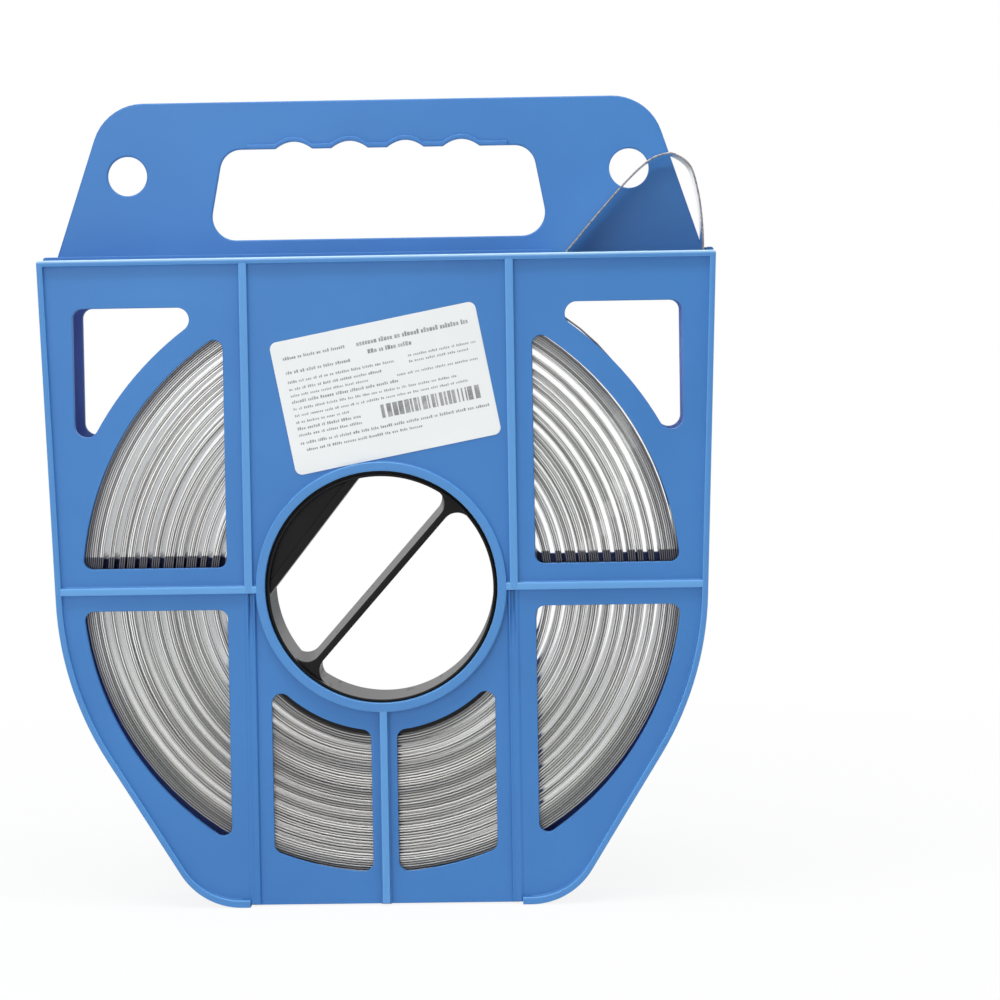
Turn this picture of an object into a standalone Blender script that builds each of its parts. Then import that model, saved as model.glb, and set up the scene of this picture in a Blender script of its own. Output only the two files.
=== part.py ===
"""Stainless steel strapping, coiled on its reel core in a moulded carry tote.

The tote stands on its flat bottom edge, with its front facing -Y. Outlines are drawn in the XZ plane
around the hub, in metres, and every piece is placed under an empty at the hub's height.
"""

import math

import bmesh
import bpy

# The strap
STRAP_WIDTH = 0.01905
STRAP_THICKNESS = 0.00076
COIL_BORE_GAP = 0.0003
COIL_ROOM = 0.0118
GROOVES_PER_END = 7
GROOVE_HALF_WIDTH = 0.0011
GROOVE_DEPTH = 0.0014
LOOSE_TURN_LIFT = 0.0148
LOOSE_TURN_START = 2.0
LOOSE_TURN_END = 102.0
TAIL_ON_COIL = 30.0
STRAP_EDGE_INSET = 0.00002

# The free end's loop: how far each point lies inward of and above the place where it leaves the tote
FREE_LOOP = (
    (0.0, 0.0),
    (0.0, 0.0146),
    (0.0023, 0.0262),
    (0.0057, 0.0354),
    (0.0114, 0.0398),
    (0.0157, 0.0401),
    (0.0234, 0.0373),
    (0.0326, 0.0291),
    (0.0467, 0.0135),
    (0.0565, 0.0019),
    (0.0604, -0.0029),
)

# The reel core
SPIGOT_RADIUS = 0.048
SPIGOT_WALL = 0.0012
SPIGOT_REACH = 0.0022
CORE_RING_WIDTH = 0.014
CORE_WALL = 0.0022
CORE_WEB = 0.003
BAR_THICKNESS = 0.0027
BAR_ANGLE = 48.5
BAR_FLARE = 0.0065
SEGMENT_DEPTH = 0.0105
SEGMENT_WALL = 0.005
SEGMENT_WEB = 0.0024

# The shells
BODY_RADIUS = 0.1355
FOOT_FLAT_RISE = 0.0022
TOP_RISE = 0.0019
SIDE_TAPER = 0.005
FLANK_ANGLE = 31.7
FOOT_CORNER_RADIUS = 0.030
TOP_CORNER_RADIUS = 0.0012
SMALLEST_FOOT_CORNER = 0.001
SMALLEST_TOP_CORNER = 0.0003
BACK_LEDGE_RISE = 0.0016
PANEL_THICKNESS = 0.0024
SIDE_WALL = 0.0025
RIM_HEIGHT = 0.0021
HUB_RING_WIDTH = 0.0037
RIB_WIDTH = 0.0034
RIB_FROM_RING = 0.0031
CROSS_RIB_WIDTH = 0.0031
CROSS_RIB_DROP = 0.0004
CENTRE_RIB_WIDTH = 0.0031
STRAP_SIDE_ROOM = 0.0015
PARTING_GAP = 0.0003
SEAT_GAP = 0.0003
FOOT_DROP = 0.0006
LOWER_RECESS = 0.0008
POCKET_LENGTH = 0.026
POCKET_DEPTH = 0.0014

# The windows in both shells
FLANK_BAND = 0.0112
WINDOW_FROM_RIB = 0.009
WINDOW_EDGE_Z = 0.0088
WINDOW_CORNER = 0.00375
LOW_WINDOW_FROM_CENTRE_RIB = 0.00385
LOW_WINDOW_FROM_RIB = 0.0086
LOW_WINDOW_FROM_RING = 0.0083
FOOT_BAND = 0.0138
LOW_WINDOW_CORNER = 0.004
TOP_BAND = 0.0203
SIDE_BAND = 0.0143
CORNER_BAR_WIDTH = 0.0101
CORNER_WINDOW_TIP = 0.005
CORNER_WINDOW_CORNER = 0.004

# The slot in the top wall, where the strap comes out
EXIT_SLOT_LENGTH = 0.0655
STRAP_EXIT_GAP = 0.0011

# Pins and sockets that hold the shells together
PIN_RADIUS = 0.003
SOCKET_WALL = 0.0014
PIN_SOCKET_GAP = 0.0003
TOP_PIN_INSET = 0.0112
TOP_PIN_DROP = 0.0129
FOOT_PIN_FROM_RIB = 0.0097
FOOT_PIN_RISE = 0.0123

# The handle on the back shell
HANDLE_SET_BACK = 0.0002
HANDLE_THICKNESS = 0.0028
HANDLE_SIDE_STEP = 0.0035
HANDLE_HEIGHT = 0.0661
HANDLE_LEAN = 71.4
HANDLE_CORNER = 0.022
HANG_HOLE_RADIUS = 0.0083
HANG_HOLE_DROP = 0.0306
HANG_HOLE_INSET = 0.01905
GRIP_RISE = 0.0078
GRIP_BAR_HEIGHT = 0.0201
GRIP_END_ROOM = 0.018
GRIP_SLOT_SPREAD = 0.0072
GRIP_SLOT_BOTTOM_CORNER = 0.010
GRIP_SLOT_TOP_CORNER = 0.009
FINGER_PITCH = 0.0236
FINGER_WIDTH = 0.0155
FINGER_HEIGHT = 0.003
FINGERS = (-1.5, -0.5, 0.5, 1.5)
GRIP_LIP_WIDTH = 0.002
GRIP_LIP_HEIGHT = 0.0012
GRIP_LIP_OVERHANG = 0.0078

# The label
LABEL_SIDE_ROOM = 0.0099
LABEL_HEIGHT_ROOM = 0.0294
LABEL_CORNER = 0.003
LABEL_THICKNESS = 0.0002
LABEL_GAP = 0.0001
LABEL_TILT = 10.5
LABEL_SIDE_SHIFT = 0.0031
LABEL_DROP = 0.0124

# Fineness of round forms
TURN_STEPS = 60
BOSS_STEPS = 16
HANG_HOLE_STEPS = 32
SCALLOP_STEPS = 8
LOOP_STEPS = 3
ARC_STEP = 6.0
CORNER_STEP = 20.0
TOP_CORNER_STEP = 30.0
EMBED = 0.001

# Depths that follow from the sizes above, out from the middle of the tote
PANEL_INSIDE = STRAP_WIDTH / 2 + STRAP_SIDE_ROOM
PANEL_OUTSIDE = PANEL_INSIDE + PANEL_THICKNESS
RIM_FACE = PANEL_OUTSIDE + RIM_HEIGHT
CORE_HALF_WIDTH = PANEL_INSIDE - SEAT_GAP

# The core, hub, ribs and coil
SPIGOT_BORE = SPIGOT_RADIUS - SPIGOT_WALL
CORE_RADIUS = SPIGOT_RADIUS + CORE_RING_WIDTH
SEGMENT_DISTANCE = SPIGOT_BORE - SEGMENT_DEPTH
HUB_RADIUS = SPIGOT_RADIUS + SEAT_GAP
HUB_RING_RADIUS = HUB_RADIUS + HUB_RING_WIDTH
RIB_OFFSET = HUB_RING_RADIUS + RIB_FROM_RING
RIB_INNER = RIB_OFFSET - RIB_WIDTH / 2
RIB_OUTER = RIB_OFFSET + RIB_WIDTH / 2
CROSS_RIB_TOP = -CROSS_RIB_DROP + CROSS_RIB_WIDTH / 2
CROSS_RIB_BOTTOM = -CROSS_RIB_DROP - CROSS_RIB_WIDTH / 2
COIL_INNER = CORE_RADIUS + COIL_BORE_GAP
COIL_OUTER = BODY_RADIUS - SIDE_WALL - COIL_ROOM
COIL_BUILD = COIL_OUTER - COIL_INNER

# The tote's outline, its windows and its exit slot
HUB_HEIGHT = BODY_RADIUS - FOOT_FLAT_RISE
BODY_TOP = BODY_RADIUS + TOP_RISE
BODY_TOP_HALF_WIDTH = BODY_RADIUS + SIDE_TAPER
WINDOW_RADIUS = BODY_RADIUS - FLANK_BAND
WINDOW_INNER_X = RIB_OFFSET + WINDOW_FROM_RIB
LOW_WINDOW_INNER_X = CENTRE_RIB_WIDTH / 2 + LOW_WINDOW_FROM_CENTRE_RIB
LOW_WINDOW_OUTER_X = RIB_OFFSET - LOW_WINDOW_FROM_RIB
LOW_WINDOW_TOP_RADIUS = HUB_RING_RADIUS + LOW_WINDOW_FROM_RING
LOW_WINDOW_BOTTOM_RADIUS = HUB_HEIGHT - FOOT_BAND
CORNER_WINDOW_TOP = BODY_TOP - TOP_BAND
CORNER_WINDOW_SIDE = BODY_TOP_HALF_WIDTH - SIDE_BAND
CORNER_WINDOW_RADIUS = WINDOW_RADIUS + CORNER_BAR_WIDTH
EXIT_SLOT_END = BODY_TOP_HALF_WIDTH - SIDE_WALL
EXIT_SLOT_START = EXIT_SLOT_END - EXIT_SLOT_LENGTH
STRAP_EXIT_X = EXIT_SLOT_END - STRAP_EXIT_GAP
TOP_PIN = (BODY_TOP_HALF_WIDTH - TOP_PIN_INSET, BODY_TOP - TOP_PIN_DROP)
FOOT_PIN = (RIB_OFFSET + FOOT_PIN_FROM_RIB, FOOT_PIN_RISE - HUB_HEIGHT)

# The handle and its slot
HANDLE_SLOPE = 1.0 / math.tan(math.radians(HANDLE_LEAN))
HANDLE_BASE_HALF_WIDTH = BODY_TOP_HALF_WIDTH - HANDLE_SIDE_STEP
HANDLE_TOP = BODY_TOP + HANDLE_HEIGHT
HANG_HOLE_Z = HANDLE_TOP - HANG_HOLE_DROP
HANG_HOLE_X = HANDLE_BASE_HALF_WIDTH - (HANG_HOLE_Z - BODY_TOP) * HANDLE_SLOPE - HANG_HOLE_INSET
FINGERS_HALF_WIDTH = FINGER_PITCH * len(FINGERS) / 2
GRIP_SLOT_BOTTOM = BODY_TOP + GRIP_RISE
GRIP_SLOT_TOP = HANDLE_TOP - GRIP_BAR_HEIGHT
GRIP_SLOT_TOP_HALF_WIDTH = FINGERS_HALF_WIDTH + GRIP_END_ROOM
GRIP_SLOT_BOTTOM_HALF_WIDTH = GRIP_SLOT_TOP_HALF_WIDTH + GRIP_SLOT_SPREAD
GRIP_LIP_REACH = FINGERS_HALF_WIDTH + GRIP_LIP_OVERHANG

# The label lies between the upright ribs, above the hub ring
LABEL_WIDTH = 2 * (RIB_INNER - LABEL_SIDE_ROOM)
LABEL_HEIGHT = BODY_TOP - HUB_RING_RADIUS - LABEL_HEIGHT_ROOM
LABEL_CENTRE = (LABEL_SIDE_SHIFT, (BODY_TOP + HUB_RING_RADIUS) / 2 - LABEL_DROP)


def clear_scene():
    for obj in list(bpy.data.objects):
        bpy.data.objects.remove(obj)


def make_collection(name):
    collection = bpy.data.collections.new(name)
    bpy.context.scene.collection.children.link(collection)
    return collection


def make_material(name, colour, roughness, metallic=0.0):
    material = bpy.data.materials.new(name)
    material.use_nodes = True
    shader = material.node_tree.nodes["Principled BSDF"]
    shader.inputs["Base Color"].default_value = (*colour, 1.0)
    shader.inputs["Roughness"].default_value = roughness
    shader.inputs["Metallic"].default_value = metallic
    material.diffuse_color = (*colour, 1.0)
    return material


clear_scene()
PARTS = make_collection("stainless_steel_strapping")
CUTTERS = make_collection("cutters")
BLUE_PLASTIC = make_material("blue_plastic", (0.075, 0.23, 0.55), 0.45)
BLACK_PLASTIC = make_material("black_plastic", (0.018, 0.016, 0.017), 0.25)
STAINLESS = make_material("stainless_strip", (0.62, 0.61, 0.59), 0.28, 1.0)
WHITE_LABEL = make_material("white_label", (0.86, 0.87, 0.87), 0.5)

HUB = bpy.data.objects.new("hub_centre", None)
HUB.location = (0.0, 0.0, HUB_HEIGHT)
PARTS.objects.link(HUB)


def add_object(name, data, material, is_cutter):
    obj = bpy.data.objects.new(name, data)
    obj.parent = HUB
    if material:
        data.materials.append(material)
    if is_cutter:
        obj.hide_render = True
        obj.display_type = "WIRE"
        CUTTERS.objects.link(obj)
    else:
        PARTS.objects.link(obj)
    return obj


# Outlines


def arc(centre, radius, start, end, step=CORNER_STEP):
    """Points on an arc from one angle to another, in degrees, both ends included."""
    count = max(2, math.ceil(abs(end - start) / step))
    points = []
    for i in range(count + 1):
        angle = math.radians(start + (end - start) * i / count)
        points.append((centre[0] + radius * math.cos(angle), centre[1] + radius * math.sin(angle)))
    return points


def circle(centre, radius, steps):
    return arc(centre, radius, 0.0, 360.0, 360.0 / steps)[:-1]


def angle_of(point):
    return math.degrees(math.atan2(point[1], point[0]))


def mirrored(points, flip_x=False, flip_z=False):
    sign_x = -1 if flip_x else 1
    sign_z = -1 if flip_z else 1
    return [(x * sign_x, z * sign_z) for x, z in points]


def rounded(corners):
    """A closed outline through corners (x, z, radius), each rounded by an arc."""
    points = []
    for i, (x, z, radius) in enumerate(corners):
        before, after = corners[i - 1], corners[(i + 1) % len(corners)]
        back = math.atan2(before[1] - z, before[0] - x)
        ahead = math.atan2(after[1] - z, after[0] - x)
        turn = (ahead - back + math.pi) % (2 * math.pi) - math.pi
        if radius == 0.0 or abs(abs(turn) - math.pi) < 1e-6:
            points.append((x, z))
            continue
        reach = radius / math.tan(abs(turn) / 2)
        middle = back + turn / 2
        to_centre = radius / math.sin(abs(turn) / 2)
        centre = (x + to_centre * math.cos(middle), z + to_centre * math.sin(middle))
        first = (x + reach * math.cos(back), z + reach * math.sin(back))
        last = (x + reach * math.cos(ahead), z + reach * math.sin(ahead))
        start = angle_of((first[0] - centre[0], first[1] - centre[1]))
        sweep = angle_of((last[0] - centre[0], last[1] - centre[1])) - start
        sweep = (sweep + 180.0) % 360.0 - 180.0
        points += arc(centre, radius, start, start + sweep)
    return points


def body_outline(inset=0.0, top=BODY_TOP, bottom_inset=None):
    """The tote's outline: straight tapering sides, round flanks tangent to them, and a flat foot."""
    radius = BODY_RADIUS - inset
    half_width = BODY_TOP_HALF_WIDTH - inset
    top = top - inset
    bottom = -HUB_HEIGHT + (inset if bottom_inset is None else bottom_inset)
    reach = math.hypot(half_width, top)
    upper = math.degrees(math.atan2(top, half_width) - math.acos(radius / reach))
    lower = -FLANK_ANGLE
    flank_end = arc((0, 0), radius, lower, lower + 1)[0]
    slope = math.tan(math.radians(90 - FLANK_ANGLE))
    foot_x = flank_end[0] - (flank_end[1] - bottom) / slope
    corner = max(FOOT_CORNER_RADIUS - inset, SMALLEST_FOOT_CORNER)
    turn = math.radians(90 - FLANK_ANGLE)
    tangent = corner * math.tan(turn / 2)
    foot_arc = arc((foot_x - tangent, bottom + corner), corner, -90.0, lower, ARC_STEP)
    flank = arc((0, 0), radius, lower, upper, ARC_STEP)
    corner_top = max(TOP_CORNER_RADIUS - inset, SMALLEST_TOP_CORNER)
    centre_top = (half_width - corner_top, top - corner_top)
    right = foot_arc + flank + arc(centre_top, corner_top, 0.0, 90.0, TOP_CORNER_STEP)
    return right + mirrored(right, flip_x=True)[::-1]


def side_window():
    """A big window beside the hub, in the upper right: two straight edges and an arc around the hub."""
    inner, edge, outer, corner = WINDOW_INNER_X, WINDOW_EDGE_Z, WINDOW_RADIUS, WINDOW_CORNER
    reach = outer - corner
    low = (math.sqrt(reach**2 - (edge + corner) ** 2), edge + corner)
    high = (inner + corner, math.sqrt(reach**2 - (inner + corner) ** 2))
    points = arc((inner + corner, edge + corner), corner, 180.0, 270.0)
    points += arc(low, corner, -90.0, angle_of(low))
    points += arc((0, 0), outer, angle_of(low), angle_of(high), ARC_STEP)[1:-1]
    points += arc(high, corner, angle_of(high), 180.0)
    return points


def low_window():
    """A window below the hub and right of the centre rib, between two arcs around the hub."""
    corner = LOW_WINDOW_CORNER
    near, far = LOW_WINDOW_TOP_RADIUS + corner, LOW_WINDOW_BOTTOM_RADIUS - corner
    left, right = LOW_WINDOW_INNER_X + corner, LOW_WINDOW_OUTER_X - corner
    near_left = (left, math.sqrt(near**2 - left**2))
    near_right = (right, math.sqrt(near**2 - right**2))
    far_right = (right, math.sqrt(far**2 - right**2))
    far_left = (left, math.sqrt(far**2 - left**2))
    points = arc(near_left, corner, 180.0, 180.0 + angle_of(near_left))
    top_arc = arc((0, 0), LOW_WINDOW_TOP_RADIUS, angle_of(near_left), angle_of(near_right), ARC_STEP)
    points += top_arc[1:-1]
    points += arc(near_right, corner, 180.0 + angle_of(near_right), 360.0)
    points += arc(far_right, corner, 0.0, angle_of(far_right))
    bottom_arc = arc((0, 0), LOW_WINDOW_BOTTOM_RADIUS, angle_of(far_right), angle_of(far_left), ARC_STEP)
    points += bottom_arc[1:-1]
    points += arc(far_left, corner, angle_of(far_left), 180.0)
    return mirrored(points, flip_z=True)


def corner_window():
    """The three-sided window in the upper right corner, whose long edge is an arc around the hub."""
    tip = CORNER_WINDOW_TIP
    reach = CORNER_WINDOW_RADIUS + tip
    high = (math.sqrt(reach**2 - (CORNER_WINDOW_TOP - tip) ** 2), CORNER_WINDOW_TOP - tip)
    low = (CORNER_WINDOW_SIDE - tip, math.sqrt(reach**2 - (CORNER_WINDOW_SIDE - tip) ** 2))
    outer = (CORNER_WINDOW_SIDE - CORNER_WINDOW_CORNER, CORNER_WINDOW_TOP - CORNER_WINDOW_CORNER)
    points = arc(high, tip, 90.0, 180.0 + angle_of(high))
    points += arc((0, 0), CORNER_WINDOW_RADIUS, angle_of(high), angle_of(low), ARC_STEP)[1:-1]
    points += arc(low, tip, 180.0 + angle_of(low), 360.0)
    points += arc(outer, CORNER_WINDOW_CORNER, 0.0, 90.0)
    return points


def grip_edge(x, rise=0.0):
    """Height of the grip slot's top edge at x, with its four finger scallops."""
    height = GRIP_SLOT_TOP + rise
    for finger in FINGERS:
        away = (x - finger * FINGER_PITCH) / (FINGER_WIDTH / 2)
        height += FINGER_HEIGHT * max(0.0, 1.0 - away**2)
    return height


def finger_stations(reach):
    """Where the grip's edge is drawn: both ends, and even steps across each scallop."""
    stations = [-reach, reach]
    for finger in FINGERS:
        for i in range(SCALLOP_STEPS + 1):
            stations.append(finger * FINGER_PITCH + FINGER_WIDTH * (i / SCALLOP_STEPS - 0.5))
    return sorted(stations)


def grip_slot():
    """The hand slot: rounded corners, sides that lean in, and scallops along its top."""
    bottom = (GRIP_SLOT_BOTTOM_HALF_WIDTH, GRIP_SLOT_BOTTOM, GRIP_SLOT_BOTTOM_CORNER)
    top = (GRIP_SLOT_TOP_HALF_WIDTH, GRIP_SLOT_TOP, GRIP_SLOT_TOP_CORNER)
    frame = rounded([(-bottom[0], *bottom[1:]), bottom, top, (-top[0], *top[1:])])
    right = [point for point in frame if point[0] > 0]
    left = [point for point in frame if point[0] < 0]
    lowest_left = min(range(len(left)), key=lambda i: (left[i][1], -left[i][0]))
    left = left[lowest_left + 1 :] + left[: lowest_left + 1]
    scallops = [(x, grip_edge(x)) for x in reversed(finger_stations(FINGERS_HALF_WIDTH))]
    return right + scallops + left


def handle_outline():
    """The handle plate, from its foot in the top wall to its rounded shoulders."""
    foot = BODY_TOP + BACK_LEDGE_RISE - SIDE_WALL + EMBED / 2
    top_half_width = HANDLE_BASE_HALF_WIDTH - (HANDLE_TOP - BODY_TOP) * HANDLE_SLOPE
    base_half_width = HANDLE_BASE_HALF_WIDTH + (BODY_TOP - foot) * HANDLE_SLOPE
    return rounded(
        [
            (-base_half_width, foot, 0.0),
            (base_half_width, foot, 0.0),
            (top_half_width, HANDLE_TOP, HANDLE_CORNER),
            (-top_half_width, HANDLE_TOP, HANDLE_CORNER),
        ]
    )


def rectangle(left, right, bottom, top):
    return [(left, bottom), (right, bottom), (right, top), (left, top)]


# Solids


def plate(name, outlines, front, back, material=None, is_cutter=False):
    """A flat solid between two depths: the first outline is its edge and any others are holes in it."""
    curve = bpy.data.curves.new(name, "CURVE")
    curve.dimensions = "2D"
    curve.fill_mode = "BOTH"
    curve.extrude = (back - front) / 2
    for outline in outlines:
        spline = curve.splines.new("POLY")
        spline.points.add(len(outline) - 1)
        for point, (x, z) in zip(spline.points, outline):
            point.co = (x, z, 0.0, 1.0)
        spline.use_cyclic_u = True
    drawn = add_object(name + "_outline", curve, None, is_cutter)
    drawn.location = (0.0, (front + back) / 2, 0.0)
    drawn.rotation_euler = (math.pi / 2, 0.0, 0.0)
    bpy.context.view_layer.update()
    graph = bpy.context.evaluated_depsgraph_get()
    mesh = bpy.data.meshes.new_from_object(drawn.evaluated_get(graph))
    mesh.name = name
    shape = bmesh.new()
    shape.from_mesh(mesh)
    bmesh.ops.remove_doubles(shape, verts=shape.verts, dist=1e-6)
    bmesh.ops.recalc_face_normals(shape, faces=shape.faces)
    shape.to_mesh(mesh)
    shape.free()
    solid = add_object(name, mesh, material, is_cutter)
    solid.location = drawn.location
    solid.rotation_euler = drawn.rotation_euler
    bpy.data.objects.remove(drawn)
    bpy.data.curves.remove(curve)
    return solid


def turned(name, profile, material=None, is_cutter=False):
    """A closed profile of (radius, depth) turned round the hub's axis."""
    mesh = bpy.data.meshes.new(name)
    shape = bmesh.new()
    points = [shape.verts.new((radius, 0.0, depth)) for radius, depth in profile]
    for i, point in enumerate(points):
        shape.edges.new((point, points[(i + 1) % len(points)]))
    shape.to_mesh(mesh)
    shape.free()
    solid = add_object(name, mesh, material, is_cutter)
    solid.rotation_euler = (math.pi / 2, 0.0, 0.0)
    turn = solid.modifiers.new("turn", "SCREW")
    turn.steps = TURN_STEPS
    turn.render_steps = TURN_STEPS
    turn.use_merge_vertices = True
    turn.merge_threshold = 0.00001
    return solid


def combine(target, operand, operation):
    boolean = target.modifiers.new(operand.name, "BOOLEAN")
    boolean.operation = operation
    boolean.solver = "EXACT"
    boolean.object = operand


def shade(obj, angle=30.0):
    obj.data.shade_smooth()
    obj.data.set_sharp_from_angle(angle=math.radians(angle))


# The shells


def all_windows():
    windows = []
    for flip_x in (False, True):
        windows.append(mirrored(corner_window(), flip_x))
        windows.append(mirrored(low_window(), flip_x))
        for flip_z in (False, True):
            windows.append(mirrored(side_window(), flip_x, flip_z))
    return windows


def between(side, near, far):
    """Front and back depth of a slab that lies from near to far on one side of the middle."""
    return (-far, -near) if side < 0 else (near, far)


def half_shell(name, side, top):
    """One half of the tote: a panel with its windows, the wall round it, the rim, ribs and hub ring."""
    depth = between(side, PANEL_INSIDE, PANEL_OUTSIDE)
    shell = plate(name, [body_outline(EMBED, top)], *depth, BLUE_PLASTIC)
    depth = between(side, PANEL_INSIDE - EMBED, RIM_FACE + EMBED)
    combine(shell, plate(name + "_windows", all_windows(), *depth, is_cutter=True), "DIFFERENCE")

    # The panel between the lower ribs is set back, with a deeper pocket on each side of the hub ring.
    low_panel = rectangle(-RIB_INNER, RIB_INNER, -HUB_HEIGHT - EMBED, CROSS_RIB_BOTTOM)
    depth = between(side, PANEL_OUTSIDE - LOWER_RECESS, PANEL_OUTSIDE + EMBED)
    combine(shell, plate(name + "_low_panel", [low_panel], *depth, is_cutter=True), "DIFFERENCE")
    for flip in (1, -1):
        combine(shell, pocket(f"{name}_pocket_{flip}", side, flip), "DIFFERENCE")

    wall_outside = body_outline(0.0, top)
    wall_inside = body_outline(SIDE_WALL, top, SIDE_WALL + FOOT_DROP)
    depth = between(side, PARTING_GAP / 2, RIM_FACE)
    wall = plate(name + "_wall", [wall_outside, wall_inside], *depth, is_cutter=True)
    combine(shell, wall, "UNION")

    ring = circle((0, 0), HUB_RING_RADIUS, TURN_STEPS)
    depth = between(side, PANEL_INSIDE + EMBED / 3, RIM_FACE)
    combine(shell, plate(name + "_hub_ring", [ring], *depth, is_cutter=True), "UNION")
    depth = between(side, PANEL_INSIDE + EMBED / 3, RIM_FACE - EMBED / 10)
    for number, rib in enumerate(rib_outlines(top), 1):
        combine(shell, plate(f"{name}_rib_{number}", [rib], *depth, is_cutter=True), "UNION")

    # Between the ribs the bottom edge has no rim and stands clear of the floor, so the corners are feet.
    relief = rectangle(-RIB_INNER, RIB_INNER, -HUB_HEIGHT - EMBED, -HUB_HEIGHT + FOOT_DROP)
    depth = between(side, -EMBED, RIM_FACE + EMBED)
    combine(shell, plate(name + "_foot_relief", [relief], *depth, is_cutter=True), "DIFFERENCE")
    for flip in (1, -1):
        edge_top = -HUB_HEIGHT + SIDE_WALL + FOOT_DROP + EMBED
        edge = rectangle(CENTRE_RIB_WIDTH / 2, RIB_INNER, -HUB_HEIGHT - EMBED, edge_top)
        depth = between(side, PANEL_OUTSIDE - LOWER_RECESS, RIM_FACE + EMBED)
        cut = plate(f"{name}_edge_relief_{flip}", [mirrored(edge, flip < 0)], *depth, is_cutter=True)
        combine(shell, cut, "DIFFERENCE")

    # The slot in the top wall runs between the two panels.
    low, high = BODY_TOP - 3 * SIDE_WALL, BODY_TOP + 3 * SIDE_WALL
    slot = rectangle(EXIT_SLOT_START, EXIT_SLOT_END, low, high)
    depth = between(side, -EMBED, PANEL_INSIDE)
    combine(shell, plate(name + "_exit_slot", [slot], *depth, is_cutter=True), "DIFFERENCE")
    return shell


def pocket(name, side, flip):
    """A cutter for the pocket beside the hub ring: deepest under the cross rib, running out below."""
    high = CROSS_RIB_BOTTOM
    face = PANEL_OUTSIDE + EMBED
    floor = PANEL_OUTSIDE - POCKET_DEPTH
    mesh = bpy.data.meshes.new(name)
    shape = bmesh.new()
    bmesh.ops.create_cube(shape, size=1.0)
    for vert in shape.verts:
        is_high, is_deep = vert.co.z > 0, vert.co.y > 0
        vert.co.x = flip * (RIB_OUTER if vert.co.x > 0 else RIB_INNER - EMBED)
        vert.co.y = side * ((floor if is_high else PANEL_OUTSIDE) if is_deep else face)
        vert.co.z = high if is_high else high - POCKET_LENGTH
    shape.normal_update()
    bmesh.ops.recalc_face_normals(shape, faces=shape.faces)
    shape.to_mesh(mesh)
    shape.free()
    return add_object(name, mesh, None, is_cutter=True)


def rib_outlines(top):
    """The ribs of one half: two upright ones, two across beside the hub and one below it."""
    top_end = top - SIDE_WALL / 2
    foot = -HUB_HEIGHT + SIDE_WALL / 2
    ring_middle = (HUB_RADIUS + HUB_RING_RADIUS) / 2
    side_end = BODY_RADIUS - SIDE_WALL / 2
    upright = rectangle(RIB_INNER, RIB_OUTER, foot, top_end)
    across = rectangle(ring_middle, side_end, CROSS_RIB_BOTTOM, CROSS_RIB_TOP)
    below = rectangle(-CENTRE_RIB_WIDTH / 2, CENTRE_RIB_WIDTH / 2, foot, -ring_middle)
    return [upright, mirrored(upright, True), across, mirrored(across, True), below]


def add_pins(shell, side):
    """Pins on the back half, and sockets for them on the front half."""
    right = [TOP_PIN, FOOT_PIN]
    for number, centre in enumerate(right + mirrored(right, flip_x=True), 1):
        socket_radius = PIN_RADIUS + PIN_SOCKET_GAP
        depth = between(side, PARTING_GAP / 2, PANEL_INSIDE + EMBED)
        outlines = [circle(centre, socket_radius + SOCKET_WALL, BOSS_STEPS)]
        if side < 0:
            outlines.append(circle(centre, socket_radius, BOSS_STEPS))
        name = f"{shell.name}_boss_{number}"
        combine(shell, plate(name, outlines, *depth, is_cutter=True), "UNION")
        if side > 0:
            pin_end = SEAT_GAP - PANEL_INSIDE
            round_pin = [circle(centre, PIN_RADIUS, BOSS_STEPS)]
            pin = plate(f"{shell.name}_pin_{number}", round_pin, pin_end, EMBED * 2, is_cutter=True)
            combine(shell, pin, "UNION")


def cut_hub_bore(shell, side):
    depth = between(side, PANEL_INSIDE - EMBED, RIM_FACE + EMBED)
    hub = circle((0, 0), HUB_RADIUS, TURN_STEPS)
    bore = plate(shell.name + "_hub_bore", [hub], *depth, is_cutter=True)
    combine(shell, bore, "DIFFERENCE")


def make_front_shell():
    shell = half_shell("front_shell", -1, BODY_TOP)
    add_pins(shell, -1)
    cut_hub_bore(shell, -1)
    shade(shell)
    return shell


def make_back_shell():
    """The back half, whose panel side also carries the handle plate."""
    shell = half_shell("back_shell", 1, BODY_TOP + BACK_LEDGE_RISE)
    add_pins(shell, 1)
    centres = [(-HANG_HOLE_X, HANG_HOLE_Z), (HANG_HOLE_X, HANG_HOLE_Z)]
    holes = [circle(centre, HANG_HOLE_RADIUS, HANG_HOLE_STEPS) for centre in centres]
    face = PANEL_INSIDE + HANDLE_SET_BACK
    depth = (face, face + HANDLE_THICKNESS)
    handle = plate("handle_plate", [handle_outline()] + holes, *depth, is_cutter=True)
    through = (face - EMBED, face + HANDLE_THICKNESS + EMBED)
    combine(handle, plate("grip_slot", [grip_slot()], *through, is_cutter=True), "DIFFERENCE")
    combine(shell, handle, "UNION")
    stations = finger_stations(GRIP_LIP_REACH)
    lower_edge = [(x, grip_edge(x, EMBED / 20)) for x in stations]
    upper_edge = [(x, grip_edge(x, GRIP_LIP_WIDTH)) for x in reversed(stations)]
    depth = (face - GRIP_LIP_HEIGHT, face + EMBED)
    combine(shell, plate("grip_lip", [lower_edge + upper_edge], *depth, is_cutter=True), "UNION")
    cut_hub_bore(shell, 1)
    shade(shell)
    return shell


# The reel core


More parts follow.
